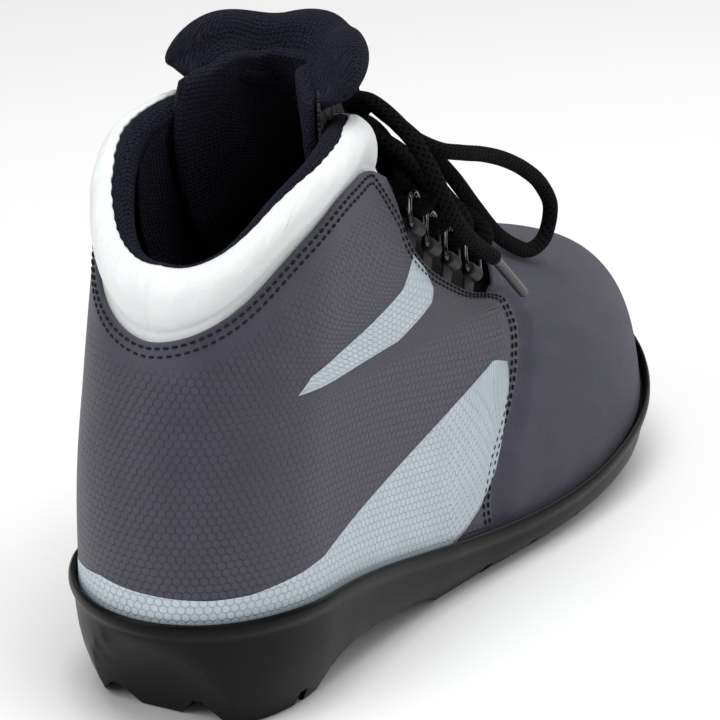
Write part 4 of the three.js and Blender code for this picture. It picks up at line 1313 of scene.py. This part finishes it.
def beside_joint(angle, out):
    along = last(angle + 0.004, 0) - last(angle - 0.004, 0)
    side = Vector((along.y, -along.x, 0)).normalized()
    return last(angle, 0) + side * out


def sole_section(angle, row):
    """row counts from the top's middle over the rim and down the wall to the underside's middle."""
    along = (1 + math.cos(angle)) / 2
    spring = eased(TOE_SPRING, along, 0.03)
    under = eased(UNDERCUT, along, 0.03)
    joint = sole_height(along)
    if row < 2:
        edge = beside_joint(angle, RIM[0][0])
        other = beside_joint(-angle, RIM[0][0])
        point = edge.lerp(other, 0.5 * (1 - row / 2))
        point.z = joint + RIM[0][1]
        return point
    row -= 2
    if row < len(RIM):
        point = beside_joint(angle, RIM[row][0])
        point.z = joint + RIM[row][1]
        return point
    row -= len(RIM) - 1
    if row <= WALL_STEPS:
        share = row / WALL_STEPS
        bow = 1.6 * math.sin(math.pi * share)
        point = beside_joint(angle, mix(RIM[-1][0], -under, share) + bow)
        point.x = max(point.x, HEEL_FLAT * share**0.8)
        point.z = mix(joint + RIM[-1][1], spring, share)
        return point
    share = (row - WALL_STEPS) / FLAT_STEPS
    point = beside_joint(angle, -under).lerp(beside_joint(-angle, -under), 0.5 * share)
    point.x = max(point.x, HEEL_FLAT + share * 0.4)
    point.z = spring
    return point


HALF_ROWS = 2 + len(RIM) - 1 + WALL_STEPS + FLAT_STEPS
SOLE_COLUMNS = 190


def sole_place(across, up):
    angle = math.pi * (1 - across)
    row = round(up * 2 * HALF_ROWS)
    if row <= HALF_ROWS:
        point = sole_section(-angle, row)
    else:
        point = sole_section(angle, 2 * HALF_ROWS - row)
    return point * MM + STAND


outsole = closed("outsole_moulding", SOLE_COLUMNS, 2 * HALF_ROWS, sole_place, black_sole)
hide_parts("outsole")

# %% Cutters
def cutter(name, build):
    bm = bmesh.new()
    build(bm)
    bmesh.ops.recalc_face_normals(bm, faces=bm.faces[:])
    bmesh.ops.scale(bm, vec=(MM, MM, MM), verts=bm.verts[:])
    bmesh.ops.translate(bm, vec=STAND, verts=bm.verts[:])
    mesh = bpy.data.meshes.new(name)
    bm.to_mesh(mesh)
    bm.free()
    tool = bpy.data.objects.new(name, mesh)
    bpy.context.scene.collection.objects.link(tool)
    return tool


def block(bm, size, centre):
    place = Matrix.Translation(centre) @ Matrix.Diagonal((*size, 1))
    bmesh.ops.create_cube(bm, size=1, matrix=place)


def prism(bm, outline, way):
    """A flat outline pulled along a direction."""
    face = bm.faces.new([bm.verts.new(p) for p in outline])
    pulled = bmesh.ops.extrude_face_region(bm, geom=[face])["geom"]
    moved = [v for v in pulled if isinstance(v, bmesh.types.BMVert)]
    bmesh.ops.translate(bm, vec=way, verts=moved)


def arch(bm):
    curve = []
    for k in range(9):
        t = k / 8
        curve.append((mix(mix(47, 50, t), mix(50, 63, t), t), -80, mix(mix(-1, 9.5, t), mix(9.5, 9.5, t), t)))
    for k in range(9):
        t = k / 8
        curve.append((mix(mix(88, 106, t), mix(106, 114, t), t), -80, mix(mix(8, 5.5, t), mix(5.5, -1, t), t)))
    prism(bm, curve, (0, 160, 0))


def grooves(bm):
    for side in (-1, 1):
        y = side * 12.5
        outline = [(-20, y - 7.3, -1), (-20, y - 1.4, 5.8), (-20, y + 1.4, 5.8), (-20, y + 7.3, -1)]
        prism(bm, outline, (300, 0, 0))


def slots(bm):
    for side in (-1, 1):
        for x in (38, 133, 155, 177, 199, 221):
            block(bm, (3.5, 46, 8), (x, side * (18 + 23), 0))


def toe_slot(bm):
    block(bm, (13, 30, 30), (249, 0, 0))


def bar_seat(bm):
    turn = Matrix.Translation((249, 0, 9)) @ Matrix.Rotation(math.pi / 2, 4, "X")
    bmesh.ops.create_cone(bm, cap_ends=True, segments=32, radius1=2.25, radius2=2.25, depth=40.6, matrix=turn)


def cut(piece, name, build):
    tool = cutter(name, build)
    saw = piece.modifiers.new(name, "BOOLEAN")
    saw.operation = "DIFFERENCE"
    saw.solver = "EXACT"
    saw.object = tool
    shaped = bpy.data.meshes.new_from_object(piece.evaluated_get(bpy.context.evaluated_depsgraph_get()))
    piece.modifiers.remove(saw)
    old = piece.data
    piece.data = shaped
    bpy.data.meshes.remove(old)
    bpy.data.objects.remove(tool)
    print("cut", name, "->", len(shaped.polygons), "faces")


for build in (arch, grooves, slots, toe_slot, bar_seat):
    cut(outsole, build.__name__, build)
outsole.data.set_sharp_from_angle(angle=math.radians(38))
soft_edge = outsole.modifiers.new("edge", "BEVEL")
soft_edge.width = 0.00045
soft_edge.segments = 2
soft_edge.limit_method = "ANGLE"
soft_edge.angle_limit = math.radians(48)

# %% [markdown]
# The toe bar is the steel rod that the binding grips. It sits in the sole with
# rounded ends. The parts inside the boot keep their solids and only get a finish.

# %% Toe bar and hidden parts
bm = bmesh.new()
bmesh.ops.create_cone(bm, cap_ends=True, segments=40, radius1=0.002, radius2=0.002, depth=0.04)
caps = [e for e in bm.edges if e.calc_face_angle(0) > 1]
bmesh.ops.bevel(bm, geom=caps, offset=0.0005, segments=3, profile=0.5, affect="EDGES", material=-1)
bmesh.ops.rotate(bm, verts=bm.verts[:], cent=(0, 0, 0), matrix=Matrix.Rotation(math.pi / 2, 3, "X"))
bmesh.ops.translate(bm, vec=Vector((0.249, 0, 0.009)) + STAND, verts=bm.verts[:])
toe_bar = finish_mesh("toe_bar_rod", bm, polished_steel, "boot")
toe_bar.data.set_sharp_from_angle(angle=math.radians(35))
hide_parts("toe_bar")

hidden_finishes = {
    "shank": spring_steel, "insole_board": fibre_board,
    "toe_puff": stiffener_sheet, "heel_counter": stiffener_sheet,
}
for name, finish in hidden_finishes.items():
    for material_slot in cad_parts[name].material_slots:
        material_slot.material = finish

# %% Footbed
def footbed_place(across, row):
    angle = math.pi * (1 - across)
    turn = 2 * math.pi * row
    c, s = math.cos(turn), math.sin(turn)
    inset = 5.7 + 1.2
    share = (1 - math.copysign(abs(c) ** 0.4, c)) / 2
    point = beside_joint(-angle, -inset).lerp(beside_joint(angle, -inset), share)
    along = (1 + math.cos(angle)) / 2
    wave_up = 0.5 * math.copysign(abs(s) ** 0.5, s)
    point.z = sole_height(along) + 4.0 + 4.0 * wave_up
    return point * MM + STAND


footbed = closed("footbed_fleece", 120, 56, footbed_place, fleece)
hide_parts("footbed")

# %% [markdown]
# A plain pale floor and large soft lights show the black rim's long highlight and
# the relief of the cloths without hard shadows.

# %% Floor and lights
bm = bmesh.new()
bmesh.ops.create_grid(bm, x_segments=1, y_segments=1, size=6)
floor_mesh = bpy.data.meshes.new("floor")
bm.to_mesh(floor_mesh)
bm.free()
floor = bpy.data.objects.new("floor", floor_mesh)
floor.location.z = -0.0004
bpy.context.scene.collection.objects.link(floor)
floor_paint, tree, shader = start("floor_paint", 0.9)
shader.inputs["Base Color"].default_value = paint("ffffff")
floor.data.materials.append(floor_paint)

world = bpy.data.worlds.new("studio")
world.use_nodes = True
world.node_tree.nodes["Background"].inputs["Color"].default_value = (1, 1, 1, 1)
world.node_tree.nodes["Background"].inputs["Strength"].default_value = 0.25
bpy.context.scene.world = world


def softbox(name, place, size, power):
    lamp = bpy.data.lights.new(name, "AREA")
    lamp.shape = "RECTANGLE"
    lamp.size, lamp.size_y = size
    lamp.energy = power
    box = bpy.data.objects.new(name, lamp)
    box.location = place
    box.rotation_euler = (VIEW_CENTRE - Vector(place)).to_track_quat("-Z", "Y").to_euler()
    bpy.context.scene.collection.objects.link(box)


softbox("overhead", (-0.1, -0.1, 1.1), (0.9, 0.9), 9.6)
softbox("left_window", (-0.9, 0.5, 0.7), (0.8, 0.9), 5)
softbox("camera_side", (-0.5, -1.1, 0.6), (0.9, 0.7), 1.6)
softbox("toe_side", (0.9, -0.6, 0.6), (0.6, 0.6), 3)
bpy.context.scene.view_settings.view_transform = "Standard"
